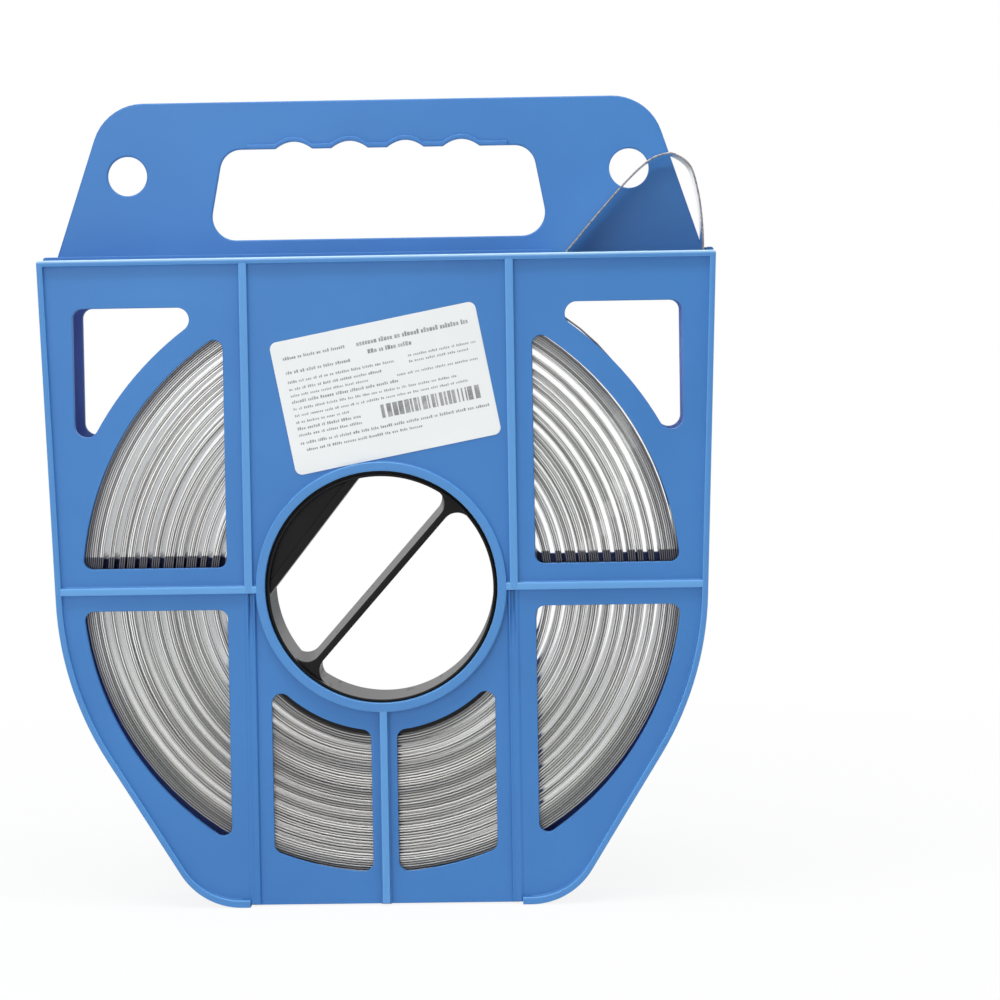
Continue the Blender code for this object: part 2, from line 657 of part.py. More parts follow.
def make_reel_core():
    """The core: an outer wall for the coil, spigots that turn in the shells' hubs, and a web between."""
    half = CORE_HALF_WIDTH
    tip = PANEL_INSIDE + SPIGOT_REACH
    web = CORE_WEB / 2
    outer_bore = CORE_RADIUS - CORE_WALL
    profile = [
        (CORE_RADIUS, half),
        (CORE_RADIUS, -half),
        (outer_bore, -half),
        (outer_bore, -web),
        (SPIGOT_RADIUS + CORE_WALL, -web),
        (SPIGOT_RADIUS + CORE_WALL, -half),
        (SPIGOT_RADIUS, -half),
        (SPIGOT_RADIUS, -tip),
        (SPIGOT_BORE, -tip),
        (SPIGOT_BORE, tip),
        (SPIGOT_RADIUS, tip),
        (SPIGOT_RADIUS, half),
        (SPIGOT_RADIUS + CORE_WALL, half),
        (SPIGOT_RADIUS + CORE_WALL, web),
        (outer_bore, web),
        (outer_bore, half),
    ]
    core = turned("reel_core", profile, BLACK_PLASTIC)
    combine(core, bore_bar(), "UNION")
    wall, web_plate = bore_segment()
    combine(core, wall, "UNION")
    combine(core, web_plate, "UNION")
    shade(core)
    return core


def turned_by(points, angle):
    cosine, sine = math.cos(math.radians(angle)), math.sin(math.radians(angle))
    return [(x * cosine - z * sine, x * sine + z * cosine) for x, z in points]


def bore_bar():
    """The bar across the bore, flared where it meets the ring at each end."""
    middle = SPIGOT_BORE + SPIGOT_WALL / 2
    height = BAR_THICKNESS / 2 + BAR_FLARE
    centre = (math.sqrt((SPIGOT_BORE - BAR_FLARE) ** 2 - height**2), height)
    meets = angle_of(centre)
    flare = arc(centre, BAR_FLARE, -90.0, meets, CORNER_STEP)
    right = flare + arc((0, 0), middle, meets, -meets, ARC_STEP) + mirrored(flare, flip_z=True)[::-1]
    outline = turned_by(right + [(-x, -z) for x, z in right], BAR_ANGLE)
    return plate("bore_bar", [outline], -CORE_HALF_WIDTH, CORE_HALF_WIDTH, is_cutter=True)


def bore_segment():
    """The closed segment beside the bar: a thick wall along its chord and a web behind it."""
    middle = SPIGOT_BORE + SPIGOT_WALL / 2

    def segment(distance):
        reach = math.degrees(math.acos(distance / middle))
        return arc((0, 0), middle, 90.0 - reach, 90.0 + reach, ARC_STEP)

    inner_edge = segment(SEGMENT_DISTANCE)
    outer_edge = segment(SEGMENT_DISTANCE + SEGMENT_WALL)
    start = [point for point in inner_edge if point[1] < outer_edge[0][1] and point[0] > 0]
    end = [point for point in inner_edge if point[1] < outer_edge[0][1] and point[0] < 0]
    wall_outline = turned_by(start + [outer_edge[0], outer_edge[-1]] + end, BAR_ANGLE)
    wall = plate("segment_wall", [wall_outline], -CORE_HALF_WIDTH, CORE_HALF_WIDTH, is_cutter=True)
    web_outline = turned_by(segment(SEGMENT_DISTANCE + SEGMENT_WALL / 2), BAR_ANGLE)
    web_front = -CORE_HALF_WIDTH / 2
    web = plate("segment_web", [web_outline], web_front, web_front + SEGMENT_WEB, is_cutter=True)
    return wall, web


# The strap


def strip_outline(route):
    """The strip seen edge on: half its thickness to each side of its route."""
    left, right = [], []
    for i, (x, z) in enumerate(route):
        before, after = route[max(i - 1, 0)], route[min(i + 1, len(route) - 1)]
        along = math.hypot(after[0] - before[0], after[1] - before[1])
        normal = (-(after[1] - before[1]) / along, (after[0] - before[0]) / along)
        half = STRAP_THICKNESS / 2
        left.append((x + normal[0] * half, z + normal[1] * half))
        right.append((x - normal[0] * half, z - normal[1] * half))
    return left + right[::-1]


def smooth_through(points, steps):
    """A curve through the points, which leaves each one along the line between its neighbours."""
    smooth = []
    for i in range(len(points) - 1):
        before, start = points[max(i - 1, 0)], points[i]
        end, after = points[i + 1], points[min(i + 2, len(points) - 1)]
        for j in range(steps):
            t = j / steps
            weights = (
                -0.5 * t + t**2 - 0.5 * t**3,
                1.0 - 2.5 * t**2 + 1.5 * t**3,
                0.5 * t + 2.0 * t**2 - 1.5 * t**3,
                -0.5 * t**2 + 0.5 * t**3,
            )
            near = (before, start, end, after)
            x, z = (sum(weight * point[k] for weight, point in zip(weights, near)) for k in (0, 1))
            smooth.append((x, z))
    return smooth + [points[-1]]


def free_end_route():
    """The free end: off the coil in a straight line, out of the slot, over in a loop and back in."""
    lying = COIL_OUTER + STRAP_THICKNESS / 4
    slot = (STRAP_EXIT_X, BODY_TOP)
    leaves = angle_of(slot) - math.degrees(math.acos(lying / math.hypot(*slot)))
    on_coil = arc((0, 0), lying, leaves - TAIL_ON_COIL, leaves, ARC_STEP)
    last = on_coil[-1]
    below_slot = (slot[0] + (last[0] - slot[0]) / 10, slot[1] + (last[1] - slot[1]) / 10)
    loop = [below_slot] + [(slot[0] - inward, slot[1] + up) for inward, up in FREE_LOOP]
    return on_coil + smooth_through(loop, LOOP_STEPS)


def loose_turn_route():
    """One loose outer turn, which springs away from the coil over its upper right."""
    route = []
    count = math.ceil((LOOSE_TURN_END - LOOSE_TURN_START) / ARC_STEP)
    for i in range(count + 1):
        share = i / count
        angle = math.radians(LOOSE_TURN_START + (LOOSE_TURN_END - LOOSE_TURN_START) * share)
        radius = COIL_OUTER - STRAP_THICKNESS + LOOSE_TURN_LIFT * math.sin(math.pi * share) ** 2
        route.append((radius * math.cos(angle), radius * math.sin(angle)))
    return route


def coil_end(edge):
    """The coil's end face from its outside inwards, with grooves between its turns."""
    points = [(COIL_OUTER, edge)]
    inward = math.copysign(GROOVE_DEPTH, -edge)
    for groove in range(GROOVES_PER_END):
        radius = COIL_OUTER - COIL_BUILD * (groove + 1) / (GROOVES_PER_END + 1)
        points.append((radius + GROOVE_HALF_WIDTH, edge))
        points.append((radius, edge + inward))
        points.append((radius - GROOVE_HALF_WIDTH, edge))
    return points + [(COIL_INNER, edge)]


def make_steel_strap():
    """The whole length of strip: its coil, one loose turn and the free end, joined as one."""
    half = STRAP_WIDTH / 2
    profile = coil_end(-half) + coil_end(half)[::-1]
    strap = turned("steel_strap", profile, STAINLESS)
    for name, route in (("loose_turn", loose_turn_route()), ("free_end", free_end_route())):
        edge = half - STRAP_EDGE_INSET
        strip = plate(name, [strip_outline(route)], -edge, edge, is_cutter=True)
        combine(strap, strip, "UNION")
    shade(strap)
    return strap


# The label


def make_label():
    """The sticker on the front panel, above the hub and slightly askew."""
    half_width, half_height = LABEL_WIDTH / 2, LABEL_HEIGHT / 2
    signs = ((-1, -1), (1, -1), (1, 1), (-1, 1))
    corners = [(x * half_width, z * half_height, LABEL_CORNER) for x, z in signs]
    turned_corners = turned_by(rounded(corners), LABEL_TILT)
    outline = [(x + LABEL_CENTRE[0], z + LABEL_CENTRE[1]) for x, z in turned_corners]
    back = -(PANEL_OUTSIDE + LABEL_GAP)
    return plate("label", [outline], back - LABEL_THICKNESS, back, WHITE_LABEL)


make_front_shell()
make_back_shell()
make_reel_core()
make_steel_strap()
make_label()
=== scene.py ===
"""Stainless steel strapping in its carry tote, dressed for a plain studio picture."""

import math
import random

import bmesh
import bpy
from mathutils import Matrix, Vector
from mathutils.geometry import delaunay_2d_cdt


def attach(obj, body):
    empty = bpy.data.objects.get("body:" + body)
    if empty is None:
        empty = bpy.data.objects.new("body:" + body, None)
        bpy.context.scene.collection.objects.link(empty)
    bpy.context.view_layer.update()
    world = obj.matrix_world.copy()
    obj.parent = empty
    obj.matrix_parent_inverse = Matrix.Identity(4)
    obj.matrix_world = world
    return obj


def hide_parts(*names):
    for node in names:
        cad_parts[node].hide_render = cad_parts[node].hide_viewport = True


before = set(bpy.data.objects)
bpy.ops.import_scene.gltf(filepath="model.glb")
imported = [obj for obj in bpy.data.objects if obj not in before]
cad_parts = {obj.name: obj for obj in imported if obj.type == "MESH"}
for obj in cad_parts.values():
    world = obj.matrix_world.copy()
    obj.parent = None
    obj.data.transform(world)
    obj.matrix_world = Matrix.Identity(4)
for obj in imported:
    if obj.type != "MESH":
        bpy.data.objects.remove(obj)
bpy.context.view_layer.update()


# The back half of the tote
# One blue polypropylene moulding: a panel with windows, a wall and a rim round it, ribs and a hub
# ring outside, pins inside, and the handle plate rising from its top. Half of the strap's slot is
# in its top wall, no rim runs under the foot, and every moulded edge is eased.

STRAP_WIDTH = 0.01905
STRAP_THICKNESS = 0.00076
HUB_HEIGHT = 0.1333
BODY_RADIUS = 0.1355
BODY_TOP = 0.1374
BODY_TOP_HALF_WIDTH = 0.1405
FLANK_ANGLE = 31.7
FOOT_CORNER_RADIUS = 0.030
TOP_CORNER_RADIUS = 0.0012
BACK_LEDGE_RISE = 0.0016
SIDE_WALL = 0.0025
PARTING_GAP = 0.0003
FOOT_DROP = 0.0006
EXIT_SLOT = (0.0725, 0.1380)
PANEL_INSIDE = STRAP_WIDTH / 2 + 0.0015
EXIT_SLOT_HALF_WIDTH = PANEL_INSIDE
PANEL_OUTSIDE = PANEL_INSIDE + 0.0024
RIM_FACE = PANEL_OUTSIDE + 0.0021
LOWER_PANEL = PANEL_OUTSIDE - 0.0008
RIM_ROOT = LOWER_PANEL - 0.0005
HUB_RADIUS = 0.0483
HUB_RING_RADIUS = 0.052
RING_MIDDLE = (HUB_RADIUS + HUB_RING_RADIUS) / 2
RIB_OFFSET = 0.0551
RIB_HALF_WIDTH = 0.0017
CROSS_RIB_DROP = 0.0004
CROSS_RIB_HALF_WIDTH = 0.00155
SIDE_WINDOW_EDGE = 0.0088
BACK_WINDOW_EDGE = 0.0106
EASED_EDGE = 0.0006
EASED_WINDOW = 0.0004
EASED_RING = 0.0005
PARTING_EASE = 0.0002
PANEL_INSET = 0.001
ROOT_FILLET = 0.0006
EASE_STEPS = 3
SMOOTH_ANGLE = 50.0


def arc(centre, radius, start, end, step=8.0):
    """Points on an arc from one angle to another, in degrees."""
    count = max(2, math.ceil(abs(end - start) / step))
    angles = [math.radians(start + (end - start) * i / count) for i in range(count + 1)]
    return [(centre[0] + radius * math.cos(a), centre[1] + radius * math.sin(a)) for a in angles]


def circle(centre, radius, steps=96):
    return arc(centre, radius, 0.0, 360.0, 360.0 / steps)[:-1]


def angle_of(point):
    return math.degrees(math.atan2(point[1], point[0]))


def mirrored(points, flip_x=False, flip_z=False):
    sign_x, sign_z = (-1 if flip_x else 1), (-1 if flip_z else 1)
    return [(x * sign_x, z * sign_z) for x, z in points]


def turned_by(points, angle):
    cosine, sine = math.cos(math.radians(angle)), math.sin(math.radians(angle))
    return [(x * cosine - z * sine, x * sine + z * cosine) for x, z in points]


def rounded(corners):
    """A closed outline through corners (x, z, radius), each rounded by an arc."""
    points = []
    for i, (x, z, radius) in enumerate(corners):
        before, after = corners[i - 1], corners[(i + 1) % len(corners)]
        back = math.atan2(before[1] - z, before[0] - x)
        ahead = math.atan2(after[1] - z, after[0] - x)
        turn = (ahead - back + math.pi) % (2 * math.pi) - math.pi
        if radius == 0.0 or abs(abs(turn) - math.pi) < 1e-6:
            points.append((x, z))
            continue
        reach = radius / math.tan(abs(turn) / 2)
        to_centre = radius / math.sin(abs(turn) / 2)
        middle = back + turn / 2
        centre = (x + to_centre * math.cos(middle), z + to_centre * math.sin(middle))
        first = (x + reach * math.cos(back) - centre[0], z + reach * math.sin(back) - centre[1])
        last = (x + reach * math.cos(ahead) - centre[0], z + reach * math.sin(ahead) - centre[1])
        sweep = (angle_of(last) - angle_of(first) + 180.0) % 360.0 - 180.0
        points += arc(centre, radius, angle_of(first), angle_of(first) + sweep)
    return points


def rectangle(left, right, bottom, top, corner=0.0):
    corners = ((left, bottom), (right, bottom), (right, top), (left, top))
    return rounded([(x, z, corner) for x, z in corners])


def anticlockwise(loop, wanted=True):
    doubled = sum(a[0] * b[1] - b[0] * a[1] for a, b in zip(loop, loop[1:] + loop[:1]))
    return list(loop) if (doubled > 0) == wanted else list(loop)[::-1]


def offset(loop, distance):
    """The loop moved to its left, into the material; a negative distance moves it outwards."""
    moved = []
    for i, point in enumerate(loop):
        before, after = loop[i - 1], loop[(i + 1) % len(loop)]
        into = math.atan2(point[1] - before[1], point[0] - before[0])
        out = math.atan2(after[1] - point[1], after[0] - point[0])
        half = ((out - into + math.pi) % (2 * math.pi) - math.pi) / 2
        reach = distance / max(math.cos(half), 0.35)
        normal = into + half + math.pi / 2
        moved.append((point[0] + reach * math.cos(normal), point[1] + reach * math.sin(normal)))
    return moved


def add_rings(shape, rings):
    """Joins loops at rising depths with faces that look away from the material."""
    made = []
    for loop, depth in rings:
        made.append([shape.verts.new((x, depth, z + HUB_HEIGHT)) for x, z in loop])
    for low, high in zip(made, made[1:]):
        for i in range(len(low)):
            j = (i + 1) % len(low)
            shape.faces.new((low[i], high[i], high[j], low[j]))
    return made


def add_cap(shape, loops, looks_front):
    """Fills the flat face between an outline and its holes."""
    flat = [vert for loop in loops for vert in loop]
    starts = [sum(len(loop) for loop in loops[:i]) for i in range(len(loops))]
    areas = [list(range(start, start + len(loop))) for start, loop in zip(starts, loops)]
    spots = [Vector((vert.co.x, vert.co.z)) for vert in flat]
    found, _, faces, origins, _, _ = delaunay_2d_cdt(spots, [], areas, 2, 1e-9)
    verts = []
    for spot, origin in zip(found, origins):
        verts.append(flat[origin[0]] if origin else shape.verts.new((spot.x, flat[0].co.y, spot.y)))
    for face in faces:
        corners = [verts[i] for i in face]
        if len(set(corners)) < 3:
            continue
        spans = [(a.co.x, a.co.z, b.co.x, b.co.z) for a, b in zip(corners, corners[1:] + corners[:1])]
        is_front = sum(ax * bz - bx * az for ax, az, bx, bz in spans) > 0
        corners = corners if is_front == looks_front else corners[::-1]
        if shape.faces.get(corners) is None:
            shape.faces.new(corners)


def eased_rings(loop, face, ease, inwards):
    """Loops from an eased edge's flat face to its full outline, with depths that go inwards."""
    angles = [math.radians(90.0 * k / EASE_STEPS) for k in range(EASE_STEPS + 1)] if ease else [math.pi / 2]
    insets = [(ease * (1.0 - math.sin(a)), ease * (1.0 - math.cos(a))) for a in angles]
    return [(offset(loop, inset), face + inwards * depth) for inset, depth in insets]


def add_moulding(shape, outline, holes, low, high, low_ease=0.0, high_ease=0.0):
    """A flat moulding between two depths, with the edges of either face eased."""
    lows, highs = [], []
    for number, loop in enumerate([outline] + list(holes)):
        loop = anticlockwise(loop, number == 0)
        rings = eased_rings(loop, low, low_ease, 1) + eased_rings(loop, high, high_ease, -1)[::-1]
        made = add_rings(shape, rings)
        lows.append(made[0])
        highs.append(made[-1])
    add_cap(shape, lows, True)
    add_cap(shape, highs, False)


def add_moulding_on(shape, side, outline, holes, near, far, ease=0.0, near_ease=0.0):
    """A moulding of one half, between two distances from the middle, with its far edges eased."""
    if side < 0:
        add_moulding(shape, outline, holes, -far, -near, ease, near_ease)
    else:
        add_moulding(shape, outline, holes, near, far, near_ease, ease)


def add_fillet(shape, side, loop, is_outline, face):
    """The hollow root of an upright wall, which is an easing turned outwards from the wall."""
    rings = eased_rings(anticlockwise(loop, is_outline), side * face, -ROOT_FILLET, -side)
    add_rings(shape, rings[::-1] if side < 0 else rings)


def body_outline(inset, top, bottom_inset=None):
    """The tote's outline: straight tapering sides, round flanks tangent to them, and a flat foot."""
    radius, half_width, top = BODY_RADIUS - inset, BODY_TOP_HALF_WIDTH - inset, top - inset
    bottom = -HUB_HEIGHT + (inset if bottom_inset is None else bottom_inset)
    reach = math.hypot(half_width, top)
    upper = math.degrees(math.atan2(top, half_width) - math.acos(radius / reach))
    flank_end = arc((0, 0), radius, -FLANK_ANGLE, -FLANK_ANGLE + 1)[0]
    turn = math.radians(90 - FLANK_ANGLE)
    foot_x = flank_end[0] - (flank_end[1] - bottom) / math.tan(turn)
    corner = max(FOOT_CORNER_RADIUS - inset, 0.001)
    foot_centre = (foot_x - corner * math.tan(turn / 2), bottom + corner)
    corner_top = max(TOP_CORNER_RADIUS - inset, 0.0006)
    right = arc(foot_centre, corner, -90.0, -FLANK_ANGLE, 3.0)
    right += arc((0, 0), radius, -FLANK_ANGLE, upper, 2.0)
    right += arc((half_width - corner_top, top - corner_top), corner_top, 0.0, 90.0, 20.0)
    return right + mirrored(right, flip_x=True)[::-1]


def side_window(edge=SIDE_WINDOW_EDGE):
    """A big window beside the hub: two straight edges and two arcs round the hub."""
    inner, outer, corner = 0.0641, 0.1243, 0.00375
    reach = outer - corner
    low = (math.sqrt(reach**2 - (edge + corner) ** 2), edge + corner)
    high = (inner + corner, math.sqrt(reach**2 - (inner + corner) ** 2))
    points = arc((inner + corner, edge + corner), corner, 180.0, 270.0)
    points += arc(low, corner, -90.0, angle_of(low))
    points += arc((0, 0), outer, angle_of(low), angle_of(high), 2.0)[1:-1]
    return points + arc(high, corner, angle_of(high), 180.0)


def low_window():
    """A window below the hub, between the centre rib, an upright rib and two arcs round the hub."""
    corner, near, far = 0.004, 0.0603 + 0.004, 0.1195 - 0.004
    left, right = 0.0054 + corner, 0.0465 - corner
    near_left, near_right, far_left, far_right = (
        (x, math.sqrt(reach**2 - x**2)) for reach in (near, far) for x in (left, right)
    )
    points = arc(near_left, corner, 180.0, 180.0 + angle_of(near_left))
    points += arc((0, 0), near - corner, angle_of(near_left), angle_of(near_right), 2.0)[1:-1]
    points += arc(near_right, corner, 180.0 + angle_of(near_right), 360.0)
    points += arc(far_right, corner, 0.0, angle_of(far_right))
    points += arc((0, 0), far + corner, angle_of(far_right), angle_of(far_left), 2.0)[1:-1]
    points += arc(far_left, corner, angle_of(far_left), 180.0)
    return mirrored(points, flip_z=True)


def corner_window():
    """The three-sided window in the upper corner, whose long edge is an arc round the hub."""
    tip, top, side, corner = 0.005, 0.1171, 0.1262, 0.004
    reach = 0.1344 + tip
    high = (math.sqrt(reach**2 - (top - tip) ** 2), top - tip)
    low = (side - tip, math.sqrt(reach**2 - (side - tip) ** 2))
    points = arc(high, tip, 90.0, 180.0 + angle_of(high))
    points += arc((0, 0), reach - tip, angle_of(high), angle_of(low), 2.0)[1:-1]
    points += arc(low, tip, 180.0 + angle_of(low), 360.0)
    return points + arc((side - corner, top - corner), corner, 0.0, 90.0)


def lower_upright(shape, side, sign, start, end):
    """The low band below the cross rib, with a groove that is a deep pocket only at its top."""
    face = PANEL_OUTSIDE + 0.0006
    rows = []
    for k in range(41):
        height = start + (end - start) * (k / 40) ** 1.5
        below = min((start - height) / 0.026, 1.0)
        groove = 0.00025 + 0.0024 * (1.0 - below) ** 1.5
        profile = [
            (0.0577, PANEL_OUTSIDE - 0.0002),
            (0.0571, PANEL_OUTSIDE + 0.0001),
            (0.0566, face - 0.00015),
            (0.0562, face),
            (0.0556, face),
            (0.0552, face - groove * 0.9),
            (0.0550, face - groove),
            (0.0538, face - groove),
            (0.0536, face - groove * 0.9),
            (0.0534, face - 0.0001),
            (0.0530, face),
            (0.0526, face - 0.0002),
            (0.0522, LOWER_PANEL - 0.0002),
        ]
        rows.append([shape.verts.new((sign * x, side * y, height + HUB_HEIGHT)) for x, y in profile])
    for upper, under in zip(rows, rows[1:]):
        for a, b, c, d in zip(upper, upper[1:], under[1:], under):
            shape.faces.new((a, d, c, b) if sign * side > 0 else (a, b, c, d))


def first_on_left(loop):
    return next(i for i, point in enumerate(loop) if point[0] < 0)


def half_shell(shape, side, top):
    """The panel, wall, rim, ring and ribs that both halves share."""
    foot, bottom = -HUB_HEIGHT, -HUB_HEIGHT + SIDE_WALL + FOOT_DROP
    ring_edge = math.degrees(math.asin(-CROSS_RIB_DROP / RING_MIDDLE))
    over_hub = arc((0, 0), RING_MIDDLE, ring_edge, 180.0 - ring_edge, 3.0)
    under_hub = arc((0, 0), RING_MIDDLE, ring_edge, -180.0 - ring_edge, 3.0)
    left_end, right_end = (-RIB_OFFSET, -CROSS_RIB_DROP), (RIB_OFFSET, -CROSS_RIB_DROP)
    outline = [(x, z) for x, z in body_outline(PANEL_INSET, top) if z > bottom or abs(x) > RIB_OFFSET]
    split = max(i for i in range(1, len(outline)) if outline[i - 1][0] < -RIB_OFFSET) + 1
    upper = outline[split:] + outline[:split] + [(-RIB_OFFSET, foot + PANEL_INSET), left_end]
    upper += over_hub[::-1] + [right_end, (RIB_OFFSET, foot + PANEL_INSET)]
    upper_edge = BACK_WINDOW_EDGE if side > 0 else SIDE_WINDOW_EDGE
    windows = []
    for flip_x in (False, True):
        windows.append(mirrored(corner_window(), flip_x))
        windows.append(mirrored(side_window(upper_edge), flip_x))
        windows.append(mirrored(side_window(), flip_x, True))
    eased_windows = (EASED_WINDOW, EASED_WINDOW)
    add_moulding_on(shape, side, upper, windows, PANEL_INSIDE, PANEL_OUTSIDE, *eased_windows)
    lower = [right_end] + under_hub + [left_end]
    lower += [(-RIB_OFFSET, foot + FOOT_DROP), (RIB_OFFSET, foot + FOOT_DROP)]
    windows = [low_window(), mirrored(low_window(), True)]
    add_moulding_on(shape, side, lower, windows, PANEL_INSIDE, LOWER_PANEL, *eased_windows)

    outside, inside = body_outline(0.0, top), body_outline(SIDE_WALL, top, SIDE_WALL + FOOT_DROP)
    foot_reach = RIB_OFFSET + RIB_HALF_WIDTH
    recess = [(-foot_reach, foot), (-foot_reach, foot + FOOT_DROP)]
    recess += mirrored(recess, flip_x=True)[::-1]
    add_moulding_on(shape, side, outside + recess, [inside], EXIT_SLOT_HALF_WIDTH, RIM_ROOT)
    over, under = first_on_left(outside), first_on_left(inside)
    slotted = [(EXIT_SLOT[0], top)] + outside[over:] + recess + outside[:over] + [(EXIT_SLOT[1], top)]
    slotted += inside[:under][::-1] + inside[under:][::-1] + [(EXIT_SLOT[0], top - SIDE_WALL)]
    add_moulding_on(shape, side, slotted, [], PARTING_GAP / 2, EXIT_SLOT_HALF_WIDTH, 0.0, PARTING_EASE)
    rim = [(foot_reach, foot)] + outside + [(-foot_reach, foot), (-foot_reach, bottom)]
    rim += inside[::-1] + [(foot_reach, bottom)]
    add_moulding_on(shape, side, rim, [], RIM_ROOT, RIM_FACE, EASED_EDGE)
    # No fillet under the foot, where no rim runs.
    before = set(shape.faces)
    add_fillet(shape, side, inside, False, PANEL_OUTSIDE)
    unseen = []
    for face in set(shape.faces) - before:
        middle = face.calc_center_median()
        if abs(middle.x) < foot_reach and middle.z < 0.006:
            unseen.append(face)
    bmesh.ops.delete(shape, geom=unseen, context="FACES")

    hub_outline, hub_bore = circle((0, 0), HUB_RING_RADIUS), circle((0, 0), HUB_RADIUS)
    add_moulding_on(shape, side, hub_outline, [hub_bore], PANEL_INSIDE, RIM_FACE, EASED_RING, PARTING_EASE)
    add_fillet(shape, side, hub_outline, True, PANEL_OUTSIDE)
    add_fillet(shape, side, hub_outline, True, LOWER_PANEL)

    rib_top, rib_foot = top - SIDE_WALL / 2, foot + SIDE_WALL / 2
    flank = BODY_RADIUS - SIDE_WALL / 2
    cross_low, cross_high = (-CROSS_RIB_DROP + up * CROSS_RIB_HALF_WIDTH for up in (-1, 1))
    # Each kind of rib ends a hair below the rim, so that no two faces lie in one plane.
    ribs = []
    for sign in (-1, 1):
        left, right = sign * RIB_OFFSET - RIB_HALF_WIDTH, sign * RIB_OFFSET + RIB_HALF_WIDTH
        ribs.append((rectangle(left, right, cross_low, rib_top), RIM_FACE - 0.0001))
        lower_upright(shape, side, sign, cross_low + 0.0005, rib_foot)
        left, right = sorted((sign * RING_MIDDLE, sign * flank))
        ribs.append((rectangle(left, right, cross_low, cross_high), RIM_FACE - 0.00015))
    half_width = CROSS_RIB_HALF_WIDTH
    ribs.append((rectangle(-half_width, half_width, rib_foot, -RING_MIDDLE), RIM_FACE - 0.00012))
    for rib, far in ribs:
        add_moulding_on(shape, side, rib, [], PANEL_INSIDE + 0.0002, far, EASED_EDGE)
        add_fillet(shape, side, rib, True, PANEL_OUTSIDE)
        add_fillet(shape, side, rib, True, LOWER_PANEL)


def finish_mesh(name, shape, material):
    """Turns the built shape into a piece with soft shading and clean flats, fixed to the tote."""
    mesh = bpy.data.meshes.new(name)
    shape.to_mesh(mesh)
    shape.free()
    mesh.shade_smooth()
    mesh.set_sharp_from_angle(angle=math.radians(SMOOTH_ANGLE))
    mesh.materials.append(material)
    piece = bpy.data.objects.new(name, mesh)
    bpy.context.scene.collection.objects.link(piece)
    flats = piece.modifiers.new("clean_flats", "WEIGHTED_NORMAL")
    flats.keep_sharp = True
    flats.weight = 100
    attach(piece, "root")
    return piece


def new_material(name):
    material = bpy.data.materials.new(name)
    material.use_nodes = True
    return material, material.node_tree, material.node_tree.nodes["Principled BSDF"]


def add_node(tree, kind, inputs, operation=None):
    """A shader node whose inputs are constants or the outputs of other nodes."""
    node = tree.nodes.new(kind)
    if operation:
        node.operation = operation
    if kind == "ShaderNodeMix":
        node.data_type = "RGBA"
    for name, value in inputs.items():
        if isinstance(value, bpy.types.NodeSocket):
            tree.links.new(value, node.inputs[name])
        else:
            node.inputs[name].default_value = value
    return node


def calculated(tree, operation, first, second=0.0):
    return add_node(tree, "ShaderNodeMath", {0: first, 1: second}, operation).outputs["Value"]


def ranged(tree, value, start, end, low=0.0, high=1.0, curve="LINEAR"):
    """Maps a value from start..end to low..high."""
    limits = {"From Min": start, "From Max": end, "To Min": low, "To Max": high}
    node = add_node(tree, "ShaderNodeMapRange", {"Value": value, **limits})
    node.interpolation_type = curve
    return node.outputs["Result"]


def mixed(tree, share, under, over):
    """One colour laid over another by a share from 0 to 1."""
    colours = {"Factor": share, "A": under, "B": over}
    return add_node(tree, "ShaderNodeMix", colours).outputs["Result"]


def ramp_through(tree, value, stops):
    """A colour ramp through stops of (position, colour)."""
    ramp = add_node(tree, "ShaderNodeValToRGB", {"Fac": value})
    for position, _ in stops[1:-1]:
        ramp.color_ramp.elements.new(position)
    for element, (position, colour) in zip(ramp.color_ramp.elements, stops):
        element.position = position
        element.color = (*colour, 1.0)
    return ramp.outputs["Color"]


def split_up(tree, vector):
    return add_node(tree, "ShaderNodeSeparateXYZ", {"Vector": vector}).outputs


def make_surface_wear():
    """Slow tone changes, fine grain and short handling marks, for every finish on the tote."""
    group = bpy.data.node_groups.new("surface_wear", "ShaderNodeTree")
    for name in ("Patches", "Grain", "Marks"):
        group.interface.new_socket(name + " Scale", in_out="INPUT", socket_type="NodeSocketFloat")
        group.interface.new_socket(name, in_out="OUTPUT", socket_type="NodeSocketFloat")
    entry, result = group.nodes.new("NodeGroupInput"), group.nodes.new("NodeGroupOutput")
    place = group.nodes.new("ShaderNodeTexCoord").outputs["Object"]
    stretch = {"Vector": place, "Rotation": (0.3, 0.9, 0.2), "Scale": (1.0, 1.0, 14.0)}
    streaks = add_node(group, "ShaderNodeMapping", stretch).outputs["Vector"]
    for name, source, detail in (("Patches", place, 3.0), ("Grain", place, 2.0), ("Marks", streaks, 4.0)):
        inputs = {"Vector": source, "Scale": entry.outputs[name + " Scale"], "Detail": detail}
        noise = add_node(group, "ShaderNodeTexNoise", inputs).outputs["Fac"]
        if name == "Marks":
            noise = ranged(group, noise, 0.62, 0.74)
        group.links.new(noise, result.inputs[name])
    return group


surface_wear = make_surface_wear()


def add_wear(tree, patch_scale, grain_scale, mark_scale):
    wear = tree.nodes.new("ShaderNodeGroup")
    wear.node_tree = surface_wear
    for i, scale in enumerate((patch_scale, grain_scale, mark_scale)):
        wear.inputs[i].default_value = scale
    return wear.outputs


def finish_surface(tree, shader, colour, roughness, grain=None, depth=0.0, strength=0.0):
    """Gives the shader its colour and roughness, and a fine grain of some depth."""
    tree.links.new(colour, shader.inputs["Base Color"])
    tree.links.new(roughness, shader.inputs["Roughness"])
    if grain:
        relief = {"Height": grain, "Distance": depth, "Strength": strength}
        bump = add_node(tree, "ShaderNodeBump", relief)
        tree.links.new(bump.outputs["Normal"], shader.inputs["Normal"])


